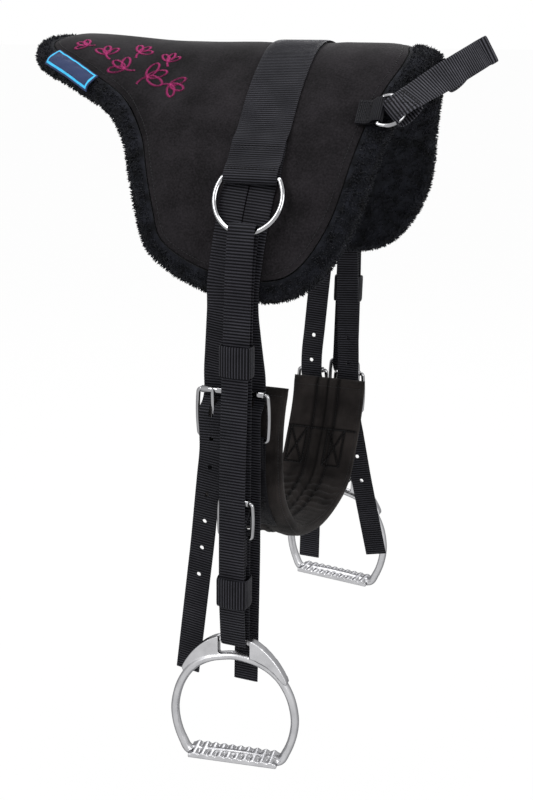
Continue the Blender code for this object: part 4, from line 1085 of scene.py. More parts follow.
@dataclass(frozen=True)
class Arch:
    """The curved top of the seat. Places are metres along it and round it, near side below 0."""

    top: float = 26.1 * MM
    front: float = 131.0 * MM
    rear: float = 269.0 * MM
    reach: float = 289.0 * MM
    flare_start: float = 110.0 * MM
    flare_length: float = 130.0 * MM
    rear_lift: float = 7.0 * MM
    flatten: float = 0.28
    half_rows: int = 12
    fine: int = 6
    slopes: Pairs = ((0.0, 0.0), (0.158, 34.0), (0.386, 51.0), (0.58, 61.0),
                     (0.70, 71.0), (0.84, 81.0), (1.0, 86.0))
    front_edge: Pairs = (
        (0.95, 0.0), (0.995, 0.10), (0.985, 0.18), (0.905, 0.32), (0.84, 0.46), (0.795, 0.58), (0.755, 0.69),
        (0.685, 0.785), (0.60, 0.855), (0.505, 0.915), (0.40, 0.957), (0.24, 0.988), (0.07, 1.0))
    rear_edge: Pairs = (
        (-0.985, 0.0), (-1.0, 0.10), (-0.985, 0.185), (-0.885, 0.265), (-0.745, 0.338), (-0.607, 0.405),
        (-0.54, 0.475), (-0.508, 0.545), (-0.470, 0.642), (-0.436, 0.737), (-0.412, 0.815), (-0.360, 0.88),
        (-0.288, 0.925), (-0.195, 0.965), (-0.07, 0.99), (0.035, 1.0))

    def points(self, x: Array, run: Array, lift: Array | float) -> Array:
        """Points in space at these places, lifted off the cover's top."""
        x, run, lift = np.broadcast_arrays(np.asarray(x, float), np.asarray(run, float),
            np.asarray(lift, float))
        flare = np.clip((-x - self.flare_start) / self.flare_length, 0, 1)
        flare = flare ** 2 * (3 - 2 * flare)
        bend = 1 - self.flatten * flare
        sign = np.where(run < 0, -1.0, 1.0)
        size = np.abs(run)
        table = np.array(self.slopes).T
        steps = (np.arange(64) + 0.5) / 64
        slope = np.radians(np.interp(size[..., None] * steps / self.reach, *table)) * bend[..., None]
        end = np.radians(np.interp(size / self.reach, *table)) * bend
        out = np.cos(slope).mean(-1) * size + lift * np.sin(end)
        down = np.sin(slope).mean(-1) * size
        return np.stack([x, sign * out, self.top - down + self.rear_lift * flare + lift * np.cos(end)], -1)

    def point(self, x: float, run: float, lift: float) -> Vector:
        """One point in space."""
        return Vector(self.points(np.array([x]), np.array([run]), lift)[0])

    def edge(self, front: bool) -> Path:
        """The front or rear edge from the crest to the bottom of the flap, as places."""
        shares, length = (self.front_edge, self.front) if front else (self.rear_edge, self.rear)
        return [Vector((a * length, b * self.reach, 0)) for a, b in shares]

    def outline(self, inset: float) -> Array:
        """The seat's outline as places, drawn in by inset: the front edge, then the rear one."""
        places = [k / (self.half_rows + 0.5) for k in range(self.half_rows + 1)]
        loops = []
        for front in (True, False):
            half = evenly(self.edge(front), places)
            loops.append([Vector((p.x, -p.y, 0)) for p in reversed(half[1:])] + half)
        outline = loops[0] + loops[1][::-1]
        drawn = []
        for k, point in enumerate(outline):
            tangent = (outline[(k + 1) % len(outline)] - outline[k - 1]).normalized()
            drawn.append(point + inset * Vector((-tangent.y, tangent.x, 0)))
        return np.array([list(p)[:2] for p in catmull(drawn, self.fine, closed=True)])

    def grid(self, inset: float, columns: int) -> tuple[Array, list[int]]:
        """Rows of places across the outline, and for 6 columns the outline's index of each rim place."""
        loop = self.outline(inset)
        last = 2 * self.half_rows * self.fine
        turn = (2 * self.half_rows + 1) * self.fine
        share = np.linspace(0, 1, columns + 1)
        rear = loop[turn:turn + last + 1][::-1]
        rows = loop[:last + 1][:, None] * (1 - share)[None, :, None] + rear[:, None] * share[None, :, None]
        ends = ([0, *range(len(loop) - 1, turn + last, -1), turn + last], list(range(last, turn + 1)))
        for row, index in zip((0, -1), ends):
            where = np.linspace(0, len(index) - 1, columns + 1)
            rows[row] = np.stack([np.interp(where, np.arange(len(index)), loop[index][:, k])
                for k in range(2)], 1)
        return rows, ends[0] + ends[1]


@dataclass
class SeatPad:
    """Padded seat: a suede cover over foam, let into a shell of deep fleece."""

    arch: Arch
    border: float = 22.0 * MM
    gap: float = 1.1 * MM
    panel_depth: float = 12.3 * MM
    seam_dip: float = 3.2 * MM
    seam_width: float = 8.0 * MM
    swell: float = 0.9 * MM
    pile: float = 2.7 * MM
    pile_seat: float = 3.0 * MM
    lump: float = 1.3 * MM
    straps: tuple[tuple[int, int, int, int], ...] = ((-29, 29, -5, 192), (-60, 34, 140, 300),
        (70, 140, 60, 142))
    strap_fade: float = 14.0 * MM
    topstitch: float = 5.0 * MM
    border_density: float = 290000.0
    inside_density: float = 130000.0
    lean: float = 0.5
    cap: int = 6

    def _pressed(self, x: Array, run: Array) -> Array:
        """How far straps hold the cover down at these places, 0 to 1."""
        held = np.zeros_like(x)
        for x0, x1, r0, r1 in self.straps:
            aside = np.maximum(x0 * MM - x, x - x1 * MM)
            side = np.maximum(aside, np.maximum(r0 * MM - np.abs(run), np.abs(run) - r1 * MM))
            held = np.maximum(held, np.clip(1 - side / self.strap_fade, 0, 1))
        return held ** 2 * (3 - 2 * held)

    def _cover_lift(self, rows: Array) -> Array:
        """Height of the padded cover over its place: seam, swell and soft undulation."""
        x, run = rows[..., 0], rows[..., 1]
        rim = self.arch.outline(self.border + self.gap)
        dense = np.concatenate([rim + (np.roll(rim, -1, 0) - rim) * k / 4 for k in range(4)])
        far = np.min(np.hypot(x[..., None] - dense[:, 0], run[..., None] - dense[:, 1]), -1)
        seam = np.exp(-(far / self.seam_width) ** 1.3)
        wave = (np.sin(33 * x + 21 * run + 1.0) + np.sin(61 * run - 27 * x + 2.2)
            + 0.6 * np.sin(97 * x + 71 * run) + 0.4 * np.sin(143 * run - 120 * x + 0.7)) / 3.0
        free = (1 - self._pressed(x, run)) * (1 - seam)
        return free * (self.swell * 0.55 + self.swell * 0.45 * wave) - seam * self.seam_dip

    def build_cover(self, finishes: Finishes) -> None:
        """Builds the cover with its foam as one padded form."""
        rows, _ = self.arch.grid(self.border + self.gap, 64)
        faces = [self.arch.points(rows[..., 0], rows[..., 1], lift)
            for lift in (self._cover_lift(rows), -self.panel_depth)]
        cover = mesh_object("suede_cover", *plate(*faces), finishes.suede, smooth=60)
        show(cover, "seat", "seat_cover", "foam_core", slot="suede")

    def build_fleece(self, finishes: Finishes) -> None:
        """Builds the fleece shell and, as pieces of their own, its pile."""
        arch, half = self.arch, self.arch.top / 2
        small = half - self.pile_seat
        recess = -(self.panel_depth + 0.3 * MM)
        rings = [(self.border + self.gap, recess), (self.border, recess), (self.border - 0.4 * MM, -3.2 * MM),
                 (self.border - 3.5 * MM, -2.9 * MM), (self.border - 6.0 * MM, -self.pile_seat)]
        shown = len(rings) - 2
        rings += [(half - small * math.cos(a), small * math.sin(a) - half)
                  for a in (math.radians(90 - 15 * k) for k in range(13))]
        loops = [arch.outline(inset) for inset, _ in rings]
        around = len(loops[0])
        rng = np.random.default_rng(SEED)
        turn = np.linspace(0, 2 * np.pi, around, endpoint=False)
        verts = []
        for k, (loop, (_, lift)) in enumerate(zip(loops, rings)):
            wave = sum(np.sin(n * turn + p) for n, p in zip((9, 17, 31, 47),
                rng.uniform(0, 6, 4) + 0.5 * k)) / 4
            verts.append(arch.points(loop[:, 0], loop[:, 1],
                lift + (self.lump * wave if k >= shown + 2 else 0)))
        verts = list(np.vstack(verts))
        faces = ring_faces(len(rings), around)
        border_faces = range(shown * around, len(faces))
        for ring in (0, len(rings) - 1):
            under_start = len(faces)
            faces += self._cap(rings[ring], ring * around, verts)
        shell = mesh_object("fleece_shell", np.array(verts), faces, finishes.fleece, smooth=60)
        for name, chosen, density in (("border", border_faces, self.border_density),
                                      ("inside", range(under_start, len(faces)), self.inside_density)):
            pile = finishes.pile.run(self._patch(shell, chosen), f"fleece_pile_{name}", finishes.tufts,
                                     Density=density, Length=self.pile, Lean=self.lean)
            show(pile, "seat", slot="fleece")
        show(shell, "seat", "fleece_lining", slot="fleece")

    def _cap(self, ring: tuple[float, float], first: int, verts: list[Array]) -> Faces:
        """Closes one ring of the shell with a grid.

        Args:
            ring: Inset and lift of the ring.
            first: Index of the ring's first vertex.
            verts: The shell's vertices, to which the grid's inner ones are added.

        Returns:
            The grid's faces.
        """
        rows, rim = self.arch.grid(ring[0], self.cap)
        points = self.arch.points(rows[..., 0], rows[..., 1], ring[1])
        index = np.zeros(rows.shape[:2], int)
        last = len(rows) - 1
        for i, j in np.ndindex(index.shape):
            if i in (0, last):
                index[i, j] = first + rim[j if i == 0 else self.cap + 1 + j]
            elif j in (0, self.cap):
                index[i, j] = first + (i if j == 0 else rim[self.cap] - i)
            else:
                index[i, j] = len(verts)
                verts.append(points[i, j])
        quads = np.stack([index[:-1, :-1], index[:-1, 1:], index[1:, 1:], index[1:, :-1]], -1)
        return quads.reshape(-1, 4).tolist()

    def _patch(self, obj: Object, chosen: Sequence[int]) -> Object:
        """A copy of some faces of an object."""
        faces = [list(obj.data.polygons[k].vertices) for k in chosen]
        used = sorted({v for f in faces for v in f})
        index = {v: k for k, v in enumerate(used)}
        return raw_object("patch", [obj.data.vertices[v].co[:] for v in used], [],
            [[index[v] for v in f] for f in faces])

    def on_cover(self, x: Array, run: Array, lift: float) -> Path:
        """Points this far above the cover at these places."""
        lift = self._cover_lift(np.stack([x, run], 1)[None])[0] + lift
        return [Vector(p) for p in self.arch.points(x, run, lift)]

    def build(self, finishes: Finishes, stitches: "StitchBook") -> None:
        """Builds the seat and notes the topstitching inside the cover's edge."""
        self.build_cover(finishes)
        self.build_fleece(finishes)
        rim = self.arch.outline(self.border + self.gap + self.topstitch)
        stitches.add("seat", [self.on_cover(*np.vstack([rim, rim[:1]]).T, 0.15 * MM)])


class StitchBook:
    """Lines of stitches, kept for each body until all pieces are made."""

    def __init__(self) -> None:
        """Starts with no lines."""
        self.lines: dict[str, list[Path]] = {}

    def add(self, body: str, lines: list[Path]) -> None:
        """Notes lines that ride on a body."""
        self.lines.setdefault(body, []).extend(lines)

    def on_cloth(self, body: str, route: Route, runs: Sequence[Outline], outward: Vector,
                 thickness: float, matrix: Matrix | None = None) -> None:
        """Notes lines on a face of a webbing.

        Args:
            body: Body that they ride on.
            route: The webbing's route.
            runs: Corners of each line as (length, offset).
            outward: The way that the face looks at the start of the first line.
            thickness: The webbing's thickness.
            matrix: Where the webbing was moved to.
        """
        lift = route.facing(runs[0][0][0], outward) * (thickness / 2 + THREAD_LIFT)
        for corners in runs:
            places = []
            for (s0, u0), (s1, u1) in zip(corners, corners[1:]):
                steps = max(1, math.ceil(math.hypot(s1 - s0, u1 - u0) / THREAD_STEP))
                places += [(s0 + (s1 - s0) * k / steps, u0 + (u1 - u0) * k / steps) for k in range(steps)]
            where = np.array(places + [corners[-1]])
            point, across, through = route.sample(where[:, 0])
            line = [Vector(p) for p in point + across * where[:, 1:] + through * lift]
            self.add(body, [[matrix @ p for p in line] if matrix is not None else line])

    def build(self, finishes: Finishes) -> None:
        """Sews all lines, one piece for each body."""
        for body, lines in self.lines.items():
            sewn = finishes.stitches.run(line_object(lines), f"stitches_{body}", finishes.thread,
                                         Pitch=3.1 * MM, Length=2.5 * MM, Radius=0.34 * MM)
            show(sewn, body)


def cross_box(start: float, end: float, half: float, middle: float = 0.0) -> list[Outline]:
    """A sewn box with a cross in it, as lines of (length, offset)."""
    a, b = middle - half, middle + half
    return [[(start, a), (end, a), (end, b), (start, b), (start, a)], [(start, a), (end, b)],
        [(start, b), (end, a)]]


@dataclass
class TopWebbing:
    """Wide webbing over the arch, turned under at each end round a large ring."""

    arch: Arch
    width: float = 50.0 * MM
    thickness: float = 2.2 * MM
    billet: float = 2.0 * MM
    ring_wire: float = 5.0 * MM
    bar_run: float = 179.0 * MM
    leg: float = 34.0 * MM
    run: float = 58.0 * MM
    seam_inset: float = 3.5 * MM
    seams: tuple[float, ...] = (8.0 * MM, 11.0 * MM, 30.0 * MM, 33.0 * MM)
    run_shares: Pairs = ((0.155, 0.88), (0.293, 0.55), (0.431, 0.49), (0.62, 0.435),
                         (0.81, 0.087), (1.0, 0.0))

    @property
    def wrap(self) -> float:
        """Radius of the webbing's middle round the ring's bar."""
        return self.ring_wire / 2 + CLEARANCE + self.thickness / 2

    @property
    def under(self) -> float:
        """Height of the turned-under leg's middle over the cover."""
        return SEAM_LIFT + self.thickness / 2 + self.billet + 2 * CLEARANCE

    @property
    def bar_lift(self) -> float:
        """Height of the ring's bar over the cover."""
        return self.under + self.wrap

    def _end(self, sign: int) -> Path:
        """One end, from the tip of its turned-under leg up the arch."""
        places = [(self.bar_run - self.leg * (1 - k / 4), self.under) for k in range(5)]
        for a in (math.radians(-90 + 36 * k) for k in range(1, 6)):
            places.append((self.bar_run + self.wrap * math.cos(a), self.bar_lift + self.wrap * math.sin(a)))
        lay = SEAM_LIFT + self.thickness / 2
        height = self.under + 2 * self.wrap - lay
        places += [(self.bar_run - self.run * share, lay + height * rise) for share, rise in self.run_shares]
        return [self.arch.point(0, sign * run, lift) for run, lift in places]

    def build(self, finishes: Finishes, stitches: StitchBook) -> None:
        """Builds the webbing and notes the rows that sew its ends."""
        start = self.bar_run - self.run
        lay = SEAM_LIFT + self.thickness / 2
        middle = [self.arch.point(0, -start + 2 * start * k / 28, lay) for k in range(1, 28)]
        route = Route.through_points(self._end(-1) + middle + self._end(1)[::-1])
        Webbing("top_webbing", route, self.width, self.thickness, Relief.WIDE, columns=30).hang(
            "seat", finishes.webbing[Relief.WIDE])
        fold = self.leg + math.pi * self.wrap
        half = self.width / 2 - self.seam_inset
        for place, side in ((0.0, -1), (route.total, 1)):
            for away in self.seams:
                s = abs(place - fold - away)
                stitches.on_cloth("seat", route, [[(s, -half), (s, half)]], Vector((0, side, 1)),
                    self.thickness)


@dataclass
class Buckle:
    """Wire frame with a roller at its head and a tongue hooked on its foot bar."""

    name: str
    x: float
    out: float
    bar_z: float
    height: float
    sign: int
    frame_body: str
    tongue_body: str
    roller_body: str
    matrix: Matrix | None = None
    wire: float = 4.0 * MM
    corner: float = 3.0 * MM
    slack: float = 1.4 * MM
    wall: float = 0.9 * MM
    strap: float = 25.0 * MM
    tongue_width: float = 3.2 * MM
    tongue_thickness: float = 2.0 * MM
    tip: float = 3.0 * MM
    seam: float = 0.22 * MM

    def _at(self, dx: float, dout: float, rise: float) -> Vector:
        """A point of the buckle."""
        return Vector((self.x + dx, self.sign * (self.out + dout), self.bar_z + rise))

    def _frame(self, finish: Material) -> Object:
        """The bent and welded wire frame."""
        half = self.strap / 2 + self.slack + self.wire / 2
        outline = []
        for cx, cz, start in ((half - self.corner, self.height - self.corner, 0),
                              (self.corner - half, self.height - self.corner, 90),
                              (self.corner - half, self.corner, 180), (half - self.corner, self.corner, 270)):
            outline += [self._at(p.x, 0, p.y) for p in arc(Vector((cx, cz)), self.corner, start, start + 90,
                9, (Vector((1, 0)), Vector((0, 1))))]
        return wire(f"{self.name}_wire", outline, self.wire / 2, finish, True, Y_AXIS, 150, self.matrix)

    def _roller(self, finish: Material) -> Object:
        """The rolled sleeve, with eased ends and a fine seam along it."""
        inner = self.wire / 2 + CLEARANCE
        outer = inner + self.wall
        half = self.strap / 2 + self.slack + self.wire / 2 - self.corner - CLEARANCE
        end = [(inner, half - 0.2 * MM), (inner + 0.25 * MM, half), (outer - 0.3 * MM, half),
               (outer, half - 0.35 * MM)]
        profile = [(r, -dx) for r, dx in end] + [(outer, 0.0)] + end[::-1]
        verts, around = [], 40
        for radius, dx in profile:
            for k in range(around):
                a = 2 * math.pi * k / around
                r = radius - (self.seam if k == around / 4 and radius >= outer - 0.31 * MM else 0.0)
                verts.append(self._at(dx, r * math.cos(a), self.height + r * math.sin(a))[:])
        return place(mesh_object(f"{self.name}_sleeve", verts, ring_faces(len(profile), around, True),
            finish), self.matrix)

    def _tongue(self, finish: Material) -> Object:
        """The tongue, curled round the foot bar and resting on the roller."""
        curl = self.wire / 2 + CLEARANCE + self.tongue_thickness / 2
        rest = self.wire / 2 + 2 * CLEARANCE + self.wall + self.tongue_thickness / 2
        path = [self._at(0, curl * math.cos(a), curl * math.sin(a))
                for a in (math.radians(105 + 255 * k / 12) for k in range(13))]
        path += [self._at(0, curl + (rest - curl) * share, self.height * share)
            for share in (0.12, 0.35, 0.7, 1.0)]
        path.append(self._at(0, rest, self.height + self.tip))

        def section(t: float) -> Outline:
            """Rounded flat section that narrows at the tip."""
            ease = 0.5 - 0.225 * smoothstep((t - 0.9) / 0.1)
            return [(math.copysign(abs(c) ** 0.55, c) * self.tongue_width * ease,
                math.copysign(abs(s) ** 0.55, s) * self.tongue_thickness * ease)
                for c, s in round_section(1, 1, 16)]

        return sweep(f"{self.name}_pin", Route.through_points(path), section, finish, 70, self.matrix)

    def build(self, finish: Material) -> None:
        """Builds the buckle's three pieces."""
        for piece, body, part in ((self._frame, self.frame_body, "frame"),
                (self._roller, self.roller_body, "roller"), (self._tongue, self.tongue_body, "tongue")):
            show(piece(finish), body, f"{self.name}_{part}", slot="plated_steel")


@dataclass
class Crossing:
    """A strap's way from behind a roller, out over the frame below it."""

    wire: float = 4.0 * MM
    wall: float = 0.9 * MM
    length: float = 24.0 * MM
    shares: Pairs = ((-0.58, 0.0), (0.042, 0.0), (0.208, 0.046), (0.342, 0.20),
                     (0.458, 0.37), (0.608, 0.75), (0.767, 0.954), (1.0, 1.0))

    def path(self, sign: int, x: float, bar_out: float, roller_z: float, tail: float,
            thickness: float) -> Path:
        """Points of the crossing."""
        behind = bar_out - (self.wire / 2 + self.wall + 2 * CLEARANCE + thickness / 2)
        end = bar_out + tail
        return [Vector((x, sign * (behind + (end - behind) * way), roller_z - self.length * drop))
                for drop, way in self.shares]


@dataclass
class GirthSet:
    """Girth, its elastics and buckles, and the billets that hold it."""

    arch: Arch
    crossing: Crossing
    width: float = 82.0 * MM
    middle: float = -11.5 * MM
    half_thickness: float = 7.4 * MM
    half_span: float = 133.3 * MM
    bottom_drop: float = 473.0 * MM
    bar_out: float = 145.0 * MM
    frame_height: float = 44.0 * MM
    strap: float = 25.0 * MM
    selvedge_gap: float = 1.0 * MM
    seam_start: float = 58.0 * MM
    seam_end: float = 100.0 * MM
    seam_half: float = 9.5 * MM
    seam_reach: float = 1.5 * MM
    seam_sink: float = 2.2 * MM
    folds: Pairs = ((0.36, 0.10), (0.66, 0.08))
    crease: float = 1.9 * MM
    channels: tuple[float, ...] = (-0.93, -0.30, 0.30, 0.93)
    end_seam: float = 9.0 * MM
    rows: int = 340
    columns: int = 72
    billet_thickness: float = 2.0 * MM
    elastic_thickness: float = 1.8 * MM
    elastic_length: float = 84.0 * MM
    elastic_start: float = 14.0 * MM
    leg: float = 26.0 * MM
    wire: float = 4.0 * MM
    tail_offset: float = 8.5 * MM
    tail_draw: float = 4.4 * MM
    top_x: float = 12.7 * MM
    hole_count: int = 7
    hole_pitch: float = 28.0 * MM
    first_hole: float = 318.0 * MM
    hole_radius: float = 2.2 * MM
    section_shares: Pairs = ((0.0, 0.50), (0.05, 0.72), (0.16, 1.0), (0.25, 0.80),
                             (0.30, 0.48), (0.36, 0.80), (0.64, 0.98), (0.90, 0.82),
                             (1.0, 0.4))
    near_shares: Pairs = ((-0.88, 0.0), (-0.97, 0.16), (-1.0, 0.38), (-0.965, 0.57),
                          (-0.86, 0.72), (-0.62, 0.89), (-0.30, 0.975), (0.06, 1.0))
    far_shares: Pairs = ((0.42, 0.94), (0.60, 0.84), (0.70, 0.68), (0.82, 0.45),
                         (0.91, 0.22), (0.95, 0.0))

    def levels(self, side: SidePlan) -> tuple[float, float]:
        """(roller drop, bar drop) of a side's buckles."""
        roller = self.first_hole + side.girth_hole * self.hole_pitch - 16.0 * MM
        return roller, roller + self.frame_height

    def _line(self, count: int) -> Path:
        """Middle line of the girth from its near end to its far end."""
        points = []
        for side, shares in ((NEAR, self.near_shares), (FAR, self.far_shares)):
            start = self.levels(side)[0] + side.girth_gap
            points += [Vector((self.middle, y * self.half_span,
                               self.arch.top - start - z * (self.bottom_drop - start))) for y, z in shares]
        return evenly(points, [k / (count - 1) for k in range(count)])

    def _half_depth(self, u: Array) -> Array:
        """Half thickness of the quilting at these shares of the half width."""
        fine = np.linspace(0, 1, 101)
        depth = np.interp(fine, *np.array(self.section_shares).T)
        padded = np.concatenate([depth[2:0:-1], depth, np.linspace(depth[-1], 0.2, 2)])
        depth = np.convolve(padded, np.ones(5) / 5, "valid")
        return np.interp(np.abs(u), fine, depth) * self.half_thickness

    def _boxes(self, total: float) -> list[Outline]:
        """Seams that hold the elastics at both ends, as lines of (length, offset)."""
        half, lines = self.width / 2, []
        for side in (NEAR, FAR):
            start, end = self.seam_start, self.seam_end
            if side.sign > 0:
                start, end = total - start, total - end
            lines.append([(start, -0.92 * half), (start, 0.92 * half)])
            for place in End:
                lines += cross_box(start, end, self.seam_half, side.billet(place).buckle_x - self.middle)
        return lines

    def _pucker(self, along: Array, across: Array, total: float) -> Array:
        """How far the quilting is pulled in by the nearest seam, from 0 to 1."""
        nearest = np.full(np.shape(along), 1.0)
        for line in self._boxes(total):
            for (s0, w0), (s1, w1) in zip(line, line[1:]):
                run, rise = s1 - s0, w1 - w0
                share = np.clip(((along - s0) * run + (across - w0) * rise) / (run ** 2 + rise ** 2), 0, 1)
                nearest = np.minimum(nearest, np.hypot(along - s0 - share * run, across - w0 - share * rise))
        return np.exp(-(nearest / self.seam_reach) ** 2)

    def _swell(self, along: Array, u: Array, face: Array, total: float) -> Array:
        """Distance of the girth's faces from its middle surface, with creases at the bends and eased ends."""
        to_end = np.minimum(along, total - along)
        ease = np.sqrt(np.clip(1 - (1 - np.clip(to_end / (9 * MM), 0, 1)) ** 2, 0.02, 1))
        bend = sum(np.exp(-((along / total - place) / spread) ** 2) for place, spread in self.folds)
        fold = np.sin(along / (4.2 * MM) + 1.3 * np.sin(3 * u) + 0.8 * np.sin(9 * u + 1)) ** 4
        crease = np.where(face > 0, 1.0, 0.25) * bend * fold * self.crease * (1 - u ** 4)
        wave = 0.35 * MM * np.sin(along / (11 * MM) + 2 * u) * np.sin(5 * u + 1)
        seam = 0.7 * MM * np.exp(-((np.abs(u) - 0.93) / 0.02) ** 2)
        seam = seam + np.where(face > 0, self.seam_sink, 0.0) * self._pucker(along, u * self.width / 2, total)
        return np.maximum(self._half_depth(u) * ease - crease + wave * ease - seam, 0.5 * MM)

    def _build_pad(self, finishes: Finishes, stitches: StitchBook) -> None:
        """The quilted girth itself, with its channels, creases and seams."""
        route = Route.through_points(self._line(26), step=1.5 * MM)
        face_up = route.facing(route.total / 2, Z_AXIS)
        half, count = self.width / 2, 2 * self.columns
        share = np.linspace(-1, 1, self.columns + 1)
        share = np.sign(share) * np.abs(share) ** 0.9
        face = np.concatenate([np.ones(self.columns + 1), -np.ones(self.columns - 1)])
        grid_s, grid_u = np.meshgrid(np.linspace(0, route.total, self.rows + 1),
                                     np.concatenate([share, share[-2:0:-1]]), indexing="ij")
        grid_f = np.broadcast_to(face, grid_s.shape)
        point, across, through = route.sample(grid_s)
        depth = self._swell(grid_s, grid_u, grid_f, route.total)
        depth = np.where(np.abs(grid_u) > 0.999, 0.0, depth)
        verts = point + across * (grid_u * half)[..., None] + through * (face_up * grid_f * depth)[..., None]
        faces = ring_faces(self.rows + 1, count)
        faces += [list(range(count)), [self.rows * count + j for j in range(count)]]
        # The seam pucker goes into lay's third value as the mask of the girth cloth's painted shade.
        pulled = np.where(grid_f > 0, MM, 0.0) * self._pucker(grid_s, grid_u * half, route.total)
        lay = np.stack([grid_u * half, grid_s, pulled], -1).reshape(-1, 3)
        pad = mesh_object("girth_quilted", verts.reshape(-1, 3), faces, finishes.girth, lay, 70)
        show(pad, "seat", "girth_pad", slot="girth_fabric")

        def sew(s: Array, u: Array, face: int, lift: float = THREAD_LIFT) -> None:
            """Notes stitches on one face at these lengths and shares of the half width."""
            depth = face_up * face * (self._swell(s, u, np.full_like(s, face), route.total) + lift)
            point, across, through = route.sample(s)
            line = point + across * (u * half)[:, None] + through * depth[:, None]
            stitches.add("seat", [[Vector(p) for p in line]])

        along, aside = np.linspace(8 * MM, route.total - 8 * MM, 160), np.linspace(-0.9, 0.9, 60)
        for channel in self.channels:
            for face in (1, -1):
                sew(along, np.full_like(along, channel), face)
        for end in (self.end_seam, route.total - self.end_seam):
            for face in (1, -1):
                sew(np.full_like(aside, end), aside, face)
        for corners in self._boxes(route.total):
            s, w = spaced(corners, THREAD_STEP)
            sew(s, w / half, 1, 0.15 * MM)

    def _build_billet(self, side: SidePlan, end: End, finishes: Finishes) -> None:
        """One billet from under the top webbing down to its tip."""
        top, sign, run = self.arch.top, side.sign, side.billet(end)
        roller_drop, bar_drop = self.levels(side)
        x_top = self.top_x if end is End.FRONT else -self.top_x
        x, shift = run.buckle_x, run.tip_x - run.buckle_x
        lift = SEAM_LIFT + self.billet_thickness / 2
        path = [self.arch.point(x_top + (run.flap_x - x_top) * share, sign * (150 + 120 * share) * MM,
            lift + 0.5 * MM * smoothstep(2 * share - 1)) for share in np.linspace(0, 1, 9).tolist()]
        last = path[-1]
        crossing = self.crossing.path(sign, x, self.bar_out, top - roller_drop, self.tail_offset,
            self.billet_thickness)
        ease = crossing[0]
        below = Vector((last.x, sign * (abs(last.y) + 1.2 * MM), last.z - 24.0 * MM))
        path += evenly([last, below, ease.lerp(below, 0.35), ease], (0.25, 0.5, 0.75)) + crossing
        hang_y = crossing[-1].y
        tail_y = sign * (self.bar_out + self.tail_offset - self.tail_draw)
        foot = top - bar_drop - 12.0 * MM
        span = foot - (top - run.end_drop)
        path += [Vector((x + shift * share, hang_y + (tail_y - hang_y) * min(1, 2.4 * share),
            foot - span * share)) for share in (0.0, 0.12, 0.24, 0.4, 0.55, 0.7, 0.85, 0.97, 1.0)]
        route = Route.through_points(path)
        holes = [route.crossings(top - self.first_hole - k * self.hole_pitch)[-1]
                 for k in range(self.hole_count) if k != side.girth_hole]
        cuts = [(s, s, self.hole_radius) for s in holes]
        cuts.append(slot_cut([route.crossings(top - roller_drop - drop)[-1] for drop in TONGUE_SLOT]))
        Webbing(f"billet_{side.name}_{end.value}", route, self.strap - self.selvedge_gap,
            self.billet_thickness, Relief.BILLET, cuts, 22).hang("seat", finishes.webbing[Relief.BILLET])

    def _build_elastic(self, side: SidePlan, end: End, finishes: Finishes, stitches: StitchBook) -> None:
        """One elastic, folded over its buckle's bar and sewn down along the girth."""
        thickness, x = self.elastic_thickness, side.billet(end).buckle_x
        wrap = self.wire / 2 + CLEARANCE + thickness / 2
        bar = Vector((x, side.sign * self.bar_out, self.arch.top - self.levels(side)[1]))
        path = [bar + side.outward * wrap - Z_AXIS * self.leg * share for share in (1.0, 0.66, 0.33, 0.0)]
        path += arc(bar, wrap, 30, 180, 6, (side.outward, Z_AXIS))
        lay = self.half_thickness + SEAM_LIFT + thickness / 2
        line = self._line(104)[::-side.sign]
        offset = []
        for before, point, after in zip(line, line[1:], line[2:]):
            normal = X_AXIS.cross((after - before).normalized())
            if normal.y * side.sign < 0 or (abs(normal.y) < 0.1 and normal.z > 0):
                normal = -normal
            point = point + lay * normal
            if point.z < bar.z - self.elastic_start or abs(point.y) < self.half_span / 2:
                offset.append(Vector((x, point.y, point.z)))
        path += [at_length(offset, self.elastic_length * k / 9) for k in range(10)]
        route = Route.through_points(path)
        total, cut = route.total, slot_cut(route.crossings(bar.z - FOLD_SLOT))
        Webbing(f"girth_elastic_{side.name}_{end.value}", route, self.strap, thickness, Relief.FINE, [cut],
            22, 3).hang("seat", finishes.webbing[Relief.FINE])
        half = 9.5 * MM
        runs = cross_box(total - 38 * MM, total - 3 * MM, half)
        runs += [[(total - d * MM, -half), (total - d * MM, half)] for d in (42, 45)]
        stitches.on_cloth("seat", route, runs, side.outward - 0.3 * Z_AXIS, thickness)
        runs = [[(d * MM, -10 * MM), (d * MM, 10 * MM)] for d in (3, 6, 13, 16)]
        stitches.on_cloth("seat", route, runs, side.outward, thickness)

    def build(self, finishes: Finishes, stitches: StitchBook) -> None:
        """Builds the girth and all that holds it."""
        self._build_pad(finishes, stitches)
        for side in (NEAR, FAR):
            for end in End:
                name = f"{side.name}_{end.value}"
                self._build_billet(side, end, finishes)
                self._build_elastic(side, end, finishes, stitches)
                Buckle(f"girth_buckle_{name}", side.billet(end).buckle_x, self.bar_out,
                    self.arch.top - self.levels(side)[1], self.frame_height, side.sign, "seat",
                    f"girth_tongue_{name}_body", f"girth_roller_{name}_body").build(finishes.plated)


def d_loop(bar: Vector, along: Vector, down: Vector, radius: float, half_bar: float,
           count: int) -> tuple[Path, Vector]:
    """Middle line of a D, an arc below a straight bar, and the arc's centre."""
    drop = math.sqrt(radius ** 2 - half_bar ** 2)
    centre = bar + down * drop
    corner = math.degrees(math.atan2(drop, half_bar))
    points = arc(centre, radius, corner, -180 - corner, count, (along, -down))
    return points + [points[-1].lerp(points[0], share) for share in (0.05, 0.2, 0.5, 0.8, 0.95)], centre


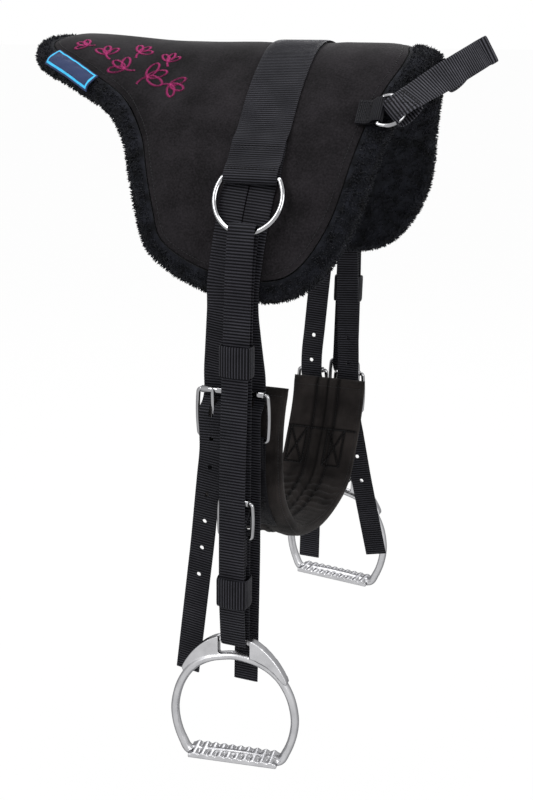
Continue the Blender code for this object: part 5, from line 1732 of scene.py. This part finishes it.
@dataclass
class StirrupIron:
    """Cast stirrup: an oval branch, a ridged tread and an eye for the strap."""

    eye_wire: float = 6.0 * MM
    eye_width: float = 34.0 * MM
    eye_height: float = 15.0 * MM
    height: float = 108.5 * MM
    half_width: float = 59.0 * MM
    branch: float = 8.0 * MM
    foot_share: float = 1.1
    depth: float = 11.0 * MM
    tread_length: float = 88.0 * MM
    tread_depth: float = 24.0 * MM
    tread_thickness: float = 4.4 * MM
    ridge: float = 2.0 * MM
    ridges: int = 10
    shoulder_depth: float = 9.5 * MM
    grain: float = 0.8 * MM
    shoulder: Pairs = ((0.265, 0.05), (0.32, 0.035), (0.48, -0.06), (0.66, -0.23), (0.80, -0.42),
                       (0.89, -0.60), (0.83, -0.62), (0.60, -0.40), (0.36, -0.28), (0.265, -0.26))
    shares: Pairs = (
        (0.0, 1.0), (0.36, 0.965), (0.68, 0.86), (0.90, 0.68), (1.0, 0.46), (0.975, 0.27), (0.87, 0.10),
        (0.74, 0.0), (0.37, 0.0))

    def _prism(self, name: str, middle: Vector, outline: Outline, depth: float,
               finish: Material) -> Object:
        """A plate along Y with an (x, z) outline."""
        count = len(outline)
        verts = [middle + Vector((x, y, z)) for y in (-depth / 2, depth / 2) for x, z in outline]
        faces = ring_faces(2, count) + [list(range(count)), [count + k for k in range(count)]]
        return mesh_object(name, verts, faces, finish)

    def _tread_outline(self) -> Outline:
        """The tread seen from the front, with its cross ridges."""
        pitch = (self.tread_length - 4.0 * MM) / self.ridges
        start, top, half = -self.ridges * pitch / 2, self.tread_thickness / 2, self.tread_length / 2
        outline = [(-half, -top), (half, -top), (half, top)]
        for k in reversed(range(self.ridges)):
            outline += [(start + (k + 1) * pitch, top), (start + (k + 0.65) * pitch, top + self.ridge),
                        (start + (k + 0.35) * pitch, top + self.ridge)]
        return outline + [(start, top), (-half, top)]

    def build(self, side: SidePlan, eye: Vector, matrix: Matrix, finishes: Finishes) -> None:
        """Builds the iron of a side, fused and eased like a casting.

        Args:
            side: The side.
            eye: Middle of the eye.
            matrix: Where the strap is moved to.
            finishes: The finishes.
        """
        name, finish = f"stirrup_iron_{side.name}", finishes.satin
        top = eye - Z_AXIS * (self.eye_height + self.branch / 2 - self.eye_wire / 2)
        turn, half_turn = (turned(eye, side.iron_turn * share, "Z") for share in (1, 0.5))
        half = evenly([Vector((x * self.half_width, 0, (z - 1) * self.height)) for x, z in self.shares],
                      [k / 14 for k in range(15)])
        line = [top + p for p in half] + [top + Vector((-p.x, 0, p.z)) for p in reversed(half[1:])]
        route = Route.through_points(line, Y_AXIS, True, 1.0 * MM)
        foot = top - Z_AXIS * self.height

        def section(t: float) -> Outline:
            """Oval section, thicker at the foot."""
            z = float(np.interp(t * route.total, route.lengths, route.points[:, 2]))
            slim = self.foot_share + (1 - self.foot_share) * smoothstep((z - foot.z) / (self.height / 5))
            return round_section(self.depth / 2, self.branch / 2 * slim, 28)

        bar = Route.through_points([eye + X_AXIS * self.eye_width * share for share in (-0.5, 0, 0.5)],
            Y_AXIS)
        tread = self._prism(name + "_tread", foot, self._tread_outline(), self.tread_depth, finish)
        parts = [sweep(name + "_branch", route, section, finish, 260, turn),
            sweep(name + "_eye", bar, lambda t: round_section(self.eye_wire / 2, self.eye_wire / 2, 24),
            finish, 20), place(tread, turn)]
        for hand in (-1, 1):
            outline = [Vector((hand * x * self.half_width, z * self.half_width, 0)) for x, z in self.shoulder]
            smooth = [p[:2] for p in catmull(outline[:9], 5) + outline[9:]]
            parts.append(place(self._prism(f"{name}_shoulder", eye, smooth, self.shoulder_depth, finish),
                half_turn))
        iron = join(name + "_cast", parts)
        cast = iron.modifiers.new("cast", "REMESH")
        cast.mode, cast.voxel_size = "VOXEL", self.grain
        ease = iron.modifiers.new("ease", "SMOOTH")
        ease.factor, ease.iterations = 0.5, 9
        iron.data = plain_mesh(iron, finish)
        show(place(iron, matrix), f"{name}_body", name, slot="satin_steel")


@dataclass
class StirrupSide:
    """Large ring, looped strap with its keepers and buckle, and the iron of one side."""

    arch: Arch
    crossing: Crossing
    iron: StirrupIron
    bar_lift: float
    bar_run: float = 179.0 * MM
    lean: float = math.radians(22.5)
    ring_wire: float = 5.0 * MM
    ring_radius: float = 31.5 * MM
    ring_half_bar: float = 26.5 * MM
    play: float = 1.5 * MM
    inner_out: float = 156.6 * MM
    outer_out: float = 171.0 * MM
    bar_out: float = 161.3 * MM
    tail_offset: float = 6.8 * MM
    tail_length: float = 90.0 * MM
    roller_above_eye: float = 140.0 * MM
    outer_rise: float = 62.0 * MM
    outer_above_roller: float = 12.0 * MM
    inner_run: float = 125.0 * MM
    frame_height: float = 34.0 * MM
    leg: float = 26.0 * MM
    width: float = 25.0 * MM
    thickness: float = 2.2 * MM
    wire: float = 4.0 * MM
    upper_keeper: float = 266.5 * MM
    keeper_height: float = 28.0 * MM
    keeper_thickness: float = 1.8 * MM
    keeper_corner: float = 1.6 * MM
    outer_shares: Pairs = ((0.0, 0.0), (0.175, 0.05), (0.49, 0.29), (0.66, 0.48),
                           (0.87, 0.70), (1.0, 1.0))
    inner_shares: Pairs = ((0.12, 0.33), (0.28, 0.64), (0.48, 0.87), (0.70, 0.96),
                           (1.0, 1.0))

    def _down(self, side: SidePlan) -> Vector:
        """The way that the large ring hangs."""
        return Vector((0, side.sign * math.sin(self.lean), -math.cos(self.lean)))

    def _ring(self, side: SidePlan, finishes: Finishes) -> Vector:
        """The large ring. Returns its arc's centre."""
        bar, down = self.arch.point(0, side.sign * self.bar_run, self.bar_lift), self._down(side)
        points, centre = d_loop(bar, X_AXIS, down, self.ring_radius, self.ring_half_bar, 64)
        ring = wire(f"large_ring_{side.name}", points, self.ring_wire / 2, finishes.plated, True,
                    X_AXIS.cross(down), 220)
        show(ring, f"d_ring_{side.name}_body", f"d_ring_{side.name}", slot="plated_steel")
        return centre

    def _path(self, side: SidePlan, centre: Vector) -> tuple[Path, Vector]:
        """The strap's whole way, and the eye of the iron.

        Args:
            side: The side.
            centre: Centre of the large ring's arc.

        Returns:
            Points from the sewn end round buckle, eye and ring to the tail, and the eye's middle.
        """
        flat = math.sqrt(self.ring_radius ** 2 - (self.width / 2) ** 2)
        hold = centre + self._down(side) * (flat - CLEARANCE)
        wrap = self.ring_wire / 2 + self.play + self.thickness / 2

        def at(out: float, drop: float) -> Vector:
            """A point on the strap's middle plane."""
            return Vector((0, side.sign * out, self.arch.top - drop))

        hold_out, hold_drop = abs(hold.y), self.arch.top - hold.z
        bar_out, outer_out = self.bar_out + side.strap_shift, self.outer_out + side.strap_shift
        roller_drop, bar_drop = self.levels(side)
        eye_drop = side.eye_drop
        bar_wrap = self.wire / 2 + CLEARANCE + self.thickness / 2
        eye_wrap = self.iron.eye_wire / 2 + SEAM_LIFT + self.thickness / 2
        path = [at(bar_out + bar_wrap, bar_drop + self.leg * share) for share in (1.0, 0.5, 0.0)]
        path += arc(at(bar_out, bar_drop), bar_wrap, 30, 180, 6, (side.outward, Z_AXIS))
        path += [at(bar_out - eye_wrap, bar_drop + (eye_drop - bar_drop) * share)
            for share in (0.15, 0.4, 0.7, 0.93)]
        path += arc(at(bar_out, eye_drop), eye_wrap, 180, 360, 8, (side.outward, Z_AXIS))
        run_drop = roller_drop + self.outer_above_roller
        outer = [at(bar_out + eye_wrap, eye_drop),
                 at(0.3 * (bar_out + eye_wrap) + 0.7 * outer_out, eye_drop - self.outer_rise / 2),
                 at(outer_out, eye_drop - self.outer_rise)]
        outer += [at(outer_out + (hold_out + wrap - outer_out) * way,
            run_drop + (hold_drop - run_drop) * share) for share, way in self.outer_shares]
        path += evenly(outer, [k / 18 for k in range(1, 18)])
        path += arc(hold, wrap, 0, 180, 8, (side.outward, Z_AXIS))
        inner_out, inner_rest = hold_out - wrap, self.inner_out + side.strap_shift
        path += [at(inner_out + (inner_rest - inner_out) * rise, hold_drop + self.inner_run * share)
                 for share, rise in self.inner_shares]
        path += self.crossing.path(side.sign, 0, bar_out, self.arch.top - roller_drop, self.tail_offset,
            self.thickness)
        start = self.crossing.length
        path += [at(bar_out + self.tail_offset, roller_drop + start + (self.tail_length - start) * share)
                 for share in (0.3, 0.65, 1.0)]
        return path, at(bar_out, eye_drop)

    def levels(self, side: SidePlan) -> tuple[float, float]:
        """(roller drop, bar drop) of a side's buckle."""
        roller = side.eye_drop - self.roller_above_eye
        return roller, roller + self.frame_height

    def _keeper(self, side: SidePlan, name: str, drop: float, route: Route, finish: Material,
            matrix: Matrix) -> None:
        """One webbing keeper round the strap's layers.

        Args:
            side: The side.
            name: Name of its node.
            drop: How far its middle lies under the arch's top.
            route: The strap's route.
            finish: Its material.
            matrix: Where the strap is moved to.
        """
        heights = [self.arch.top - drop + self.keeper_height * share for share in (-0.5, 0.0, 0.5)]
        outs = np.abs(route.sample(np.array([s for z in heights for s in route.crossings(z)]))[0][:, 1])
        low, high = float(outs.min()), float(outs.max())
        gap = self.thickness / 2 + CLEARANCE + self.keeper_thickness / 2
        dx = self.width / 2 + CLEARANCE + self.keeper_thickness / 2 - self.keeper_corner
        dy = (high - low) / 2 + gap - self.keeper_corner
        corners = []
        for cx, cy, start in ((dx, dy, 0), (-dx, dy, 90), (-dx, -dy, 180), (dx, -dy, 270)):
            middle = Vector((cx, side.sign * ((low + high) / 2 + cy), self.arch.top - drop))
            corners += arc(middle, self.keeper_corner, start, start + 90, 4, (X_AXIS, side.outward))
        ring = Route.through_points(corners, Z_AXIS, True, 0.5 * MM)
        Webbing(name, ring, self.keeper_height, self.keeper_thickness, Relief.BILLET).hang(
            f"stirrup_strap_{side.name}_body", finish, matrix)

    def build(self, side: SidePlan, finishes: Finishes, stitches: StitchBook) -> None:
        """Builds all of a side's stirrup gear."""
        top, name = self.arch.top, f"stirrup_strap_{side.name}"
        body = name + "_body"
        centre = self._ring(side, finishes)
        matrix = turned(centre, side.strap_lean, "Y")
        path, eye = self._path(side, centre)
        route = Route.through_points(path)
        roller_drop, bar_drop = self.levels(side)
        cuts = [slot_cut([route.crossings(top - roller_drop - drop)[-1] for drop in TONGUE_SLOT]),
                slot_cut(route.crossings(top - bar_drop - FOLD_SLOT))]
        Webbing(name, route, self.width, self.thickness, Relief.STRAP, cuts, 22).hang(
            body, finishes.webbing[Relief.STRAP], matrix)
        stitches.on_cloth(body, route, cross_box(3 * MM, 15 * MM, 9 * MM), side.outward, self.thickness,
                          matrix)
        for level, drop in (("upper", self.upper_keeper), ("lower", side.eye_drop - side.keeper_above_eye)):
            self._keeper(side, f"keeper_{side.name}_{level}", drop, route, finishes.webbing[Relief.BILLET],
                matrix)
        Buckle(f"stirrup_buckle_{side.name}", 0.0, self.bar_out + side.strap_shift, top - bar_drop,
               self.frame_height, side.sign, body, f"stirrup_tongue_{side.name}_body",
               f"stirrup_roller_{side.name}_body", matrix).build(finishes.plated)
        self.iron.build(side, eye, matrix, finishes)


@dataclass
class FrontHandle:
    """Grab handle: a webbing loop held by a small ring on each side, each in a folded tab."""

    arch: Arch
    wire: float = 3.5 * MM
    radius: float = 15.5 * MM
    half_bar: float = 14.0 * MM
    bar_x: float = 103.0 * MM
    bar_lift: float = 5.6 * MM
    tab_thickness: float = 1.6 * MM
    tab_length: float = 24.0 * MM
    tab_step: float = 4.0 * MM
    thickness: float = 2.0 * MM
    leg_gap: float = 6.0 * MM
    back: float = 9.0 * MM
    tip_x: float = 172.5 * MM
    tip_drop: float = 6.0 * MM
    fold: float = 4.5 * MM
    bow: float = 4.0 * MM
    start: float = 1.0 * MM
    turn: float = 0.7
    draw: float = 1.5 * MM
    rise_near: float = 2.5 * MM
    rise_far: float = 3.0 * MM
    tilt: float = math.radians(30.0)
    width: float = 25.0 * MM

    def _frame(self, side: SidePlan) -> tuple[Vector, Vector, Vector, Vector]:
        """(bar middle, along the bar, towards the arc, off the seat) of a side's ring."""
        places = [self.arch.point(self.bar_x, side.sign * (side.ring_reach + d), self.bar_lift)
                  for d in (0.0, self.half_bar, -self.half_bar)]
        along = (places[1] - places[2]).normalized()
        normal = X_AXIS.cross(along).normalized()
        return places[0], along, X_AXIS, normal if normal.y * side.sign > 0 else -normal

    def _ring_and_tab(self, side: SidePlan, finishes: Finishes, stitches: StitchBook) -> None:
        """A small ring and the webbing tab that holds it."""
        middle, along, forward, normal = self._frame(side)
        points, _ = d_loop(middle, along, forward, self.radius, self.half_bar, 48)
        ring = wire(f"small_ring_{side.name}", points, self.wire / 2, finishes.plated, True, normal, 160)
        show(ring, f"front_ring_{side.name}_body", f"front_ring_{side.name}", slot="plated_steel")
        wrap = self.wire / 2 + CLEARANCE + self.tab_thickness / 2
        legs = self.tab_length - wrap
        under = SEAM_LIFT + self.tab_thickness / 2 - self.bar_lift
        over = under + self.tab_thickness + CLEARANCE

        def at(back: float, up: float) -> Vector:
            """A point this far behind the bar and above it."""
            return middle - forward * back + normal * up

        path = [at(legs, under), at(legs / 2, under), at(self.tab_step, max(under, -wrap))]
        path += arc(middle, wrap, -90, 90, 6, (forward, normal))
        path += [at(wrap * 1.4, wrap * 0.7), at(legs * 0.45, over), at(legs, over)]
        width = 2 * self.half_bar - self.wire - 2 * CLEARANCE
        route = Route.through_points(path, along)
        Webbing(f"front_tab_{side.name}", route, width, self.tab_thickness, Relief.FINE, [], 20, 3).hang(
            "seat", finishes.webbing[Relief.FINE])
        runs = cross_box(route.total - 12 * MM, route.total - 2 * MM, width / 2 - 2.5 * MM)
        stitches.on_cloth("seat", route, runs, normal, self.tab_thickness)

    def _half(self, side: SidePlan) -> tuple[Path, Path]:
        """One half of the handle from its sewn return to the tip: points and width directions."""
        middle, _, forward, normal = self._frame(side)
        flat = math.sqrt(self.radius ** 2 - (self.width / 2) ** 2)
        hold = middle + forward * (math.sqrt(self.radius ** 2 - self.half_bar ** 2) + flat - CLEARANCE)
        gap, reach = self.leg_gap, self.radius - flat + self.wire
        tip = Vector((self.tip_x, side.sign * self.fold, self.arch.top - self.tip_drop))
        aim = tip - hold
        aim = (aim - normal * aim.dot(normal)).normalized()
        heading = forward.lerp(aim, self.turn).normalized()
        hold = hold - heading * self.draw
        path = [hold + heading * (reach + self.back) + normal * (gap * 0.1),
            hold + heading * reach - normal * gap * 0.8]
        path += arc(hold, gap, 270, 90, 7, (heading, normal))
        away = hold + heading * (reach + self.start) + normal * gap
        bow = self.bow * X_AXIS + (self.rise_far if side is FAR else self.rise_near) * Z_AXIS
        run = evenly([away, away.lerp(tip, 0.3) + bow, away.lerp(tip, 0.7) + bow, tip],
            [k / 9 for k in range(10)])
        edge = Vector((math.sin(self.tilt), 0, -math.cos(self.tilt)))
        first = heading.cross(normal)
        first = first if first.z < 0 else -first
        hints = [first] * len(path) + [first.lerp(edge, smoothstep(k / 6)).normalized()
            for k in range(len(run))]
        return path + run, hints

    def build(self, finishes: Finishes, stitches: StitchBook) -> None:
        """Builds the rings, their tabs and the handle."""
        for side in (NEAR, FAR):
            self._ring_and_tab(side, finishes, stitches)
        near, near_hints = self._half(NEAR)
        far, far_hints = self._half(FAR)
        tip = Vector((self.tip_x, 0, self.arch.top - self.tip_drop))
        front = Vector((math.cos(self.tilt), 0, math.sin(self.tilt)))
        bend = arc(tip, self.fold, -90, 90, 7, (front, Y_AXIS))[1:-1]
        hints = near_hints + [near_hints[-1]] * len(bend) + far_hints[::-1]
        route = Route.through_points(near + bend + far[::-1], hints)
        Webbing("grab_handle", route, self.width, self.thickness, Relief.STRAP, [], 22).hang(
            "grab_handle_body", finishes.handle)
        leg = self.back + math.pi * self.leg_gap + 9 * MM
        for start, sign in ((leg, 1), (route.total - leg, -1)):
            runs = cross_box(start, start + sign * 19 * MM, 9.5 * MM)
            stitches.on_cloth("grab_handle_body", route, runs, Vector((0, -sign, 0.5)), self.thickness)


@dataclass
class RearLabel:
    """A bare woven label, bent over the fleece border at the rear of the near side."""

    arch: Arch
    length: float = 62.0 * MM
    start: float = 90.0 * MM
    inner: float = 20.0 * MM
    outer: float = 2.5 * MM
    lift: float = 2.2 * MM
    thickness: float = 0.9 * MM
    softness: float = 0.35 * MM
    columns: int = 48
    rows: int = 20

    def _face(self, lift: float) -> Array:
        """A grid of points on one face of the label, this far off the fleece."""
        curve, half = catmull(self.arch.edge(False), 12), self.arch.top / 2
        grid = np.zeros((self.columns + 1, self.rows + 1, 3))
        for i, j in np.ndindex(grid.shape[:2]):
            at = self.start + self.length * i / self.columns
            point = at_length(curve, at)
            tangent = (at_length(curve, at + 1.0 * MM) - point).normalized()
            inset = self.inner + (self.outer - self.inner) * j / self.rows
            over = max(0, half - inset)
            a = math.asin(min(1, over / half))
            off = lift + self.softness * math.sin(i * 0.55) * math.sin(j * 0.5)
            inward = Vector((tangent.y, -tangent.x, 0))
            here = point + inward * inset - inward * off * math.sin(a)
            grid[i, j] = self.arch.point(here.x, -here.y,
                math.sqrt(half ** 2 - over ** 2) - half + off * math.cos(a))
        return grid

    def build(self, finishes: Finishes) -> None:
        """Builds the label with its border."""
        low, top = (self._face(lift) for lift in (self.lift - self.thickness, self.lift))
        where = np.meshgrid(np.arange(self.columns + 1) / self.columns, np.arange(self.rows + 1) / self.rows,
            indexing="ij")
        lay = np.tile(np.stack([*where, np.zeros_like(where[0])], -1).reshape(-1, 3), (2, 1))
        label = mesh_object("bare_label", *plate(low, top), finishes.label, lay, 40)
        show(label, "seat", "blank_label", slot="label_cloth")
        across, along = (sum((Vector(b) - Vector(a)).length for a, b in zip(line, line[1:]))
                         for line in (top[0], top[:, 0]))


@dataclass
class Embroidery:
    """Small sprigs of leaves in pink satin stitch on the rear of the near side."""

    lift: float = 0.25 * MM
    thread: float = 0.34 * MM
    bar: float = 2.0 * MM
    step: float = 0.42 * MM
    fan: float = 52.0
    sprigs: tuple[tuple[float, float, float, float], ...] = (
        (-130.0, -76.0, 19.0, 25.0), (-156.0, -70.0, 16.0, 150.0), (-181.0, -54.0, 14.0, 105.0),
        (-104.0, -84.0, 15.0, -20.0), (-150.0, -44.0, 13.0, 60.0), (-206.0, -44.0, 12.0, 165.0),
        (-117.0, -53.0, 12.0, 80.0))

    def _leaf(self, x: float, run: float, size: float, turn: float) -> Array:
        """Outline of one leaf as places in millimetres."""
        t, a = 2 * math.pi * np.arange(37) / 36, math.radians(turn)
        along, aside = size * (0.5 - 0.5 * np.cos(t)), size * 0.24 * np.sin(t)
        return np.stack([x + along * math.cos(a) - aside * math.sin(a), run + along * math.sin(a)
                         + aside * math.cos(a)], 1)

    def _stem(self, x: float, run: float, size: float, turn: float) -> Array:
        """A sprig's curved stem as places in millimetres."""
        t = np.linspace(0, 1, 12)
        a = math.radians(turn + 180) + 0.5 * t
        return np.stack([x + size * 0.7 * t * np.cos(a), run + size * 0.7 * t * np.sin(a)], 1)

    def _zigzag(self, line: Array, pad: SeatPad) -> Path:
        """One thread laid to and fro across a line, as satin stitch is."""
        x, run = spaced(line * MM, self.step)
        tangent = np.stack([np.gradient(x), np.gradient(run)], 1)
        tangent /= np.linalg.norm(tangent, axis=1)[:, None] + 1e-12
        side = np.where(np.arange(len(x)) % 2 == 0, 0.5, -0.5) * self.bar
        x, run = x - tangent[:, 1] * side, run + tangent[:, 0] * side
        return pad.on_cover(x, run, self.lift)

    def build(self, pad: SeatPad, finishes: Finishes) -> None:
        """Lays the threads of all the sprigs."""
        lines = []
        for x, run, size, turn in self.sprigs:
            lines += [self._leaf(x, run, size, turn + fan) for fan in (-self.fan, 0.0, self.fan)]
            lines.append(self._stem(x, run, size, turn))
        threads = line_object([self._zigzag(line, pad) for line in lines])
        show(finishes.laid.run(threads, "embroidered_sprigs", finishes.pink, Radius=self.thread), "seat")


# Studio

@dataclass
class Studio:
    """Camera, soft light and a pale floor."""

    camera_at: Triple = (0.4110, -1.1629, 0.0536)
    azimuth: float = 21.1
    pitch: float = 17.0
    lens: float = 57.15
    floor_z: float = -0.80
    floor_size: float = 30.0
    fill: float = 0.42
    lamps: tuple[tuple[str, Triple, float, float], ...] = (
        ("key", (-1.1, -1.7, 1.5), 1.3, 34.0), ("top", (0.2, -0.1, 1.9), 1.5, 26.0),
        ("side", (1.7, -1.0, 0.5), 1.2, 16.0), ("back", (-0.5, 1.7, 1.0), 1.2, 16.0))

    def _camera(self) -> None:
        """The camera at the photograph's viewing angle."""
        camera = link("camera", bpy.data.cameras.new("camera"))
        camera.location = self.camera_at
        camera.rotation_euler = (math.radians(90 - self.pitch), 0, math.radians(self.azimuth))
        camera.data.lens = self.lens
        camera.data.sensor_width = 36.0
        bpy.context.scene.camera = camera

    def _lamp(self, name: str, at: Triple, size: float, power: float) -> None:
        """A soft lamp that faces the pad."""
        light = bpy.data.lights.new(name, "AREA")
        light.shape, light.size, light.energy = "DISK", size, power
        lamp = link(name, light)
        lamp.location = at
        lamp.rotation_euler = (Vector((0, 0, -0.25)) - Vector(at)).to_track_quat("-Z", "Y").to_euler()

    def _seen(self, kit: Nodes) -> NodeSocket:
        """1 where the camera or a reflection sees the surface, else 0."""
        path = kit.add("ShaderNodeLightPath").outputs
        total = path["Is Camera Ray"]
        for name in ("Is Glossy Ray", "Is Transmission Ray"):
            total = kit.math("MAXIMUM", total, path[name])
        return total

    def _world(self) -> None:
        """White to the eye and to reflections, plain soft light to everything else."""
        world = bpy.data.worlds.new("studio")
        world.use_nodes = True
        kit = Nodes(world.node_tree)
        background = kit.tree.nodes["Background"].inputs
        background["Color"].default_value = (1, 1, 1, 1)
        kit.tree.links.new(kit.remap(self._seen(kit), 0.0, 1.0, self.fill, 1.0), background["Strength"])
        bpy.context.scene.world = world

    def _floor(self) -> None:
        """A wide pale floor that keeps a soft shadow."""
        corners = [(self.floor_size * x, self.floor_size * y, self.floor_z)
            for x, y in ((-1, -1), (1, -1), (1, 1), (-1, 1))]
        floor = mesh_object("floor", np.array(corners), [(0, 1, 2, 3)], self._floor_finish(), recalc=False)

    def _floor_finish(self) -> Material:
        """White paint with a faint cloudiness, mostly lit by itself to the eye."""
        s = Shader("pale_floor", Roughness=0.9, Specular_IOR_Level=0.1)
        cloud = s.remap(s.noise(s.coordinates(), 3.0), 0.3, 0.7)
        s.tree.links.new(s.mix(cloud, (0.95, 0.95, 0.95), (0.98, 0.98, 0.98)), s.surface.inputs["Base Color"])
        glow = s.add("ShaderNodeEmission", {"Color": (1, 1, 1, 1)}).outputs[0]
        share = s.math("MULTIPLY", self._seen(s), 0.97)
        blend = s.add("ShaderNodeMixShader", {0: share, 1: s.surface.outputs[0], 2: glow})
        s.tree.links.new(blend.outputs[0], s.tree.nodes["Material Output"].inputs["Surface"])
        return s.material

    def build(self) -> None:
        """Sets up the studio."""
        self._camera()
        self._world()
        self._floor()
        for lamp in self.lamps:
            self._lamp(*lamp)
        bpy.context.scene.view_settings.view_transform = "Standard"


def main() -> None:
    """Builds each sub-assembly in order."""
    logging.basicConfig(level=logging.INFO, format="%(message)s")
    finishes = Finishes()
    stitches = StitchBook()
    arch = Arch()
    pad = SeatPad(arch)
    top = TopWebbing(arch)
    crossing = Crossing()
    pad.build(finishes, stitches)
    top.build(finishes, stitches)
    GirthSet(arch, crossing).build(finishes, stitches)
    gear = StirrupSide(arch, crossing, StirrupIron(), top.bar_lift)
    for side in (NEAR, FAR):
        gear.build(side, finishes, stitches)
    FrontHandle(arch).build(finishes, stitches)
    RearLabel(arch).build(finishes)
    Embroidery().build(pad, finishes)
    stitches.build(finishes)
    bpy.data.objects.remove(finishes.tuft)
    Studio().build()


if __name__ == "__main__":
    main()
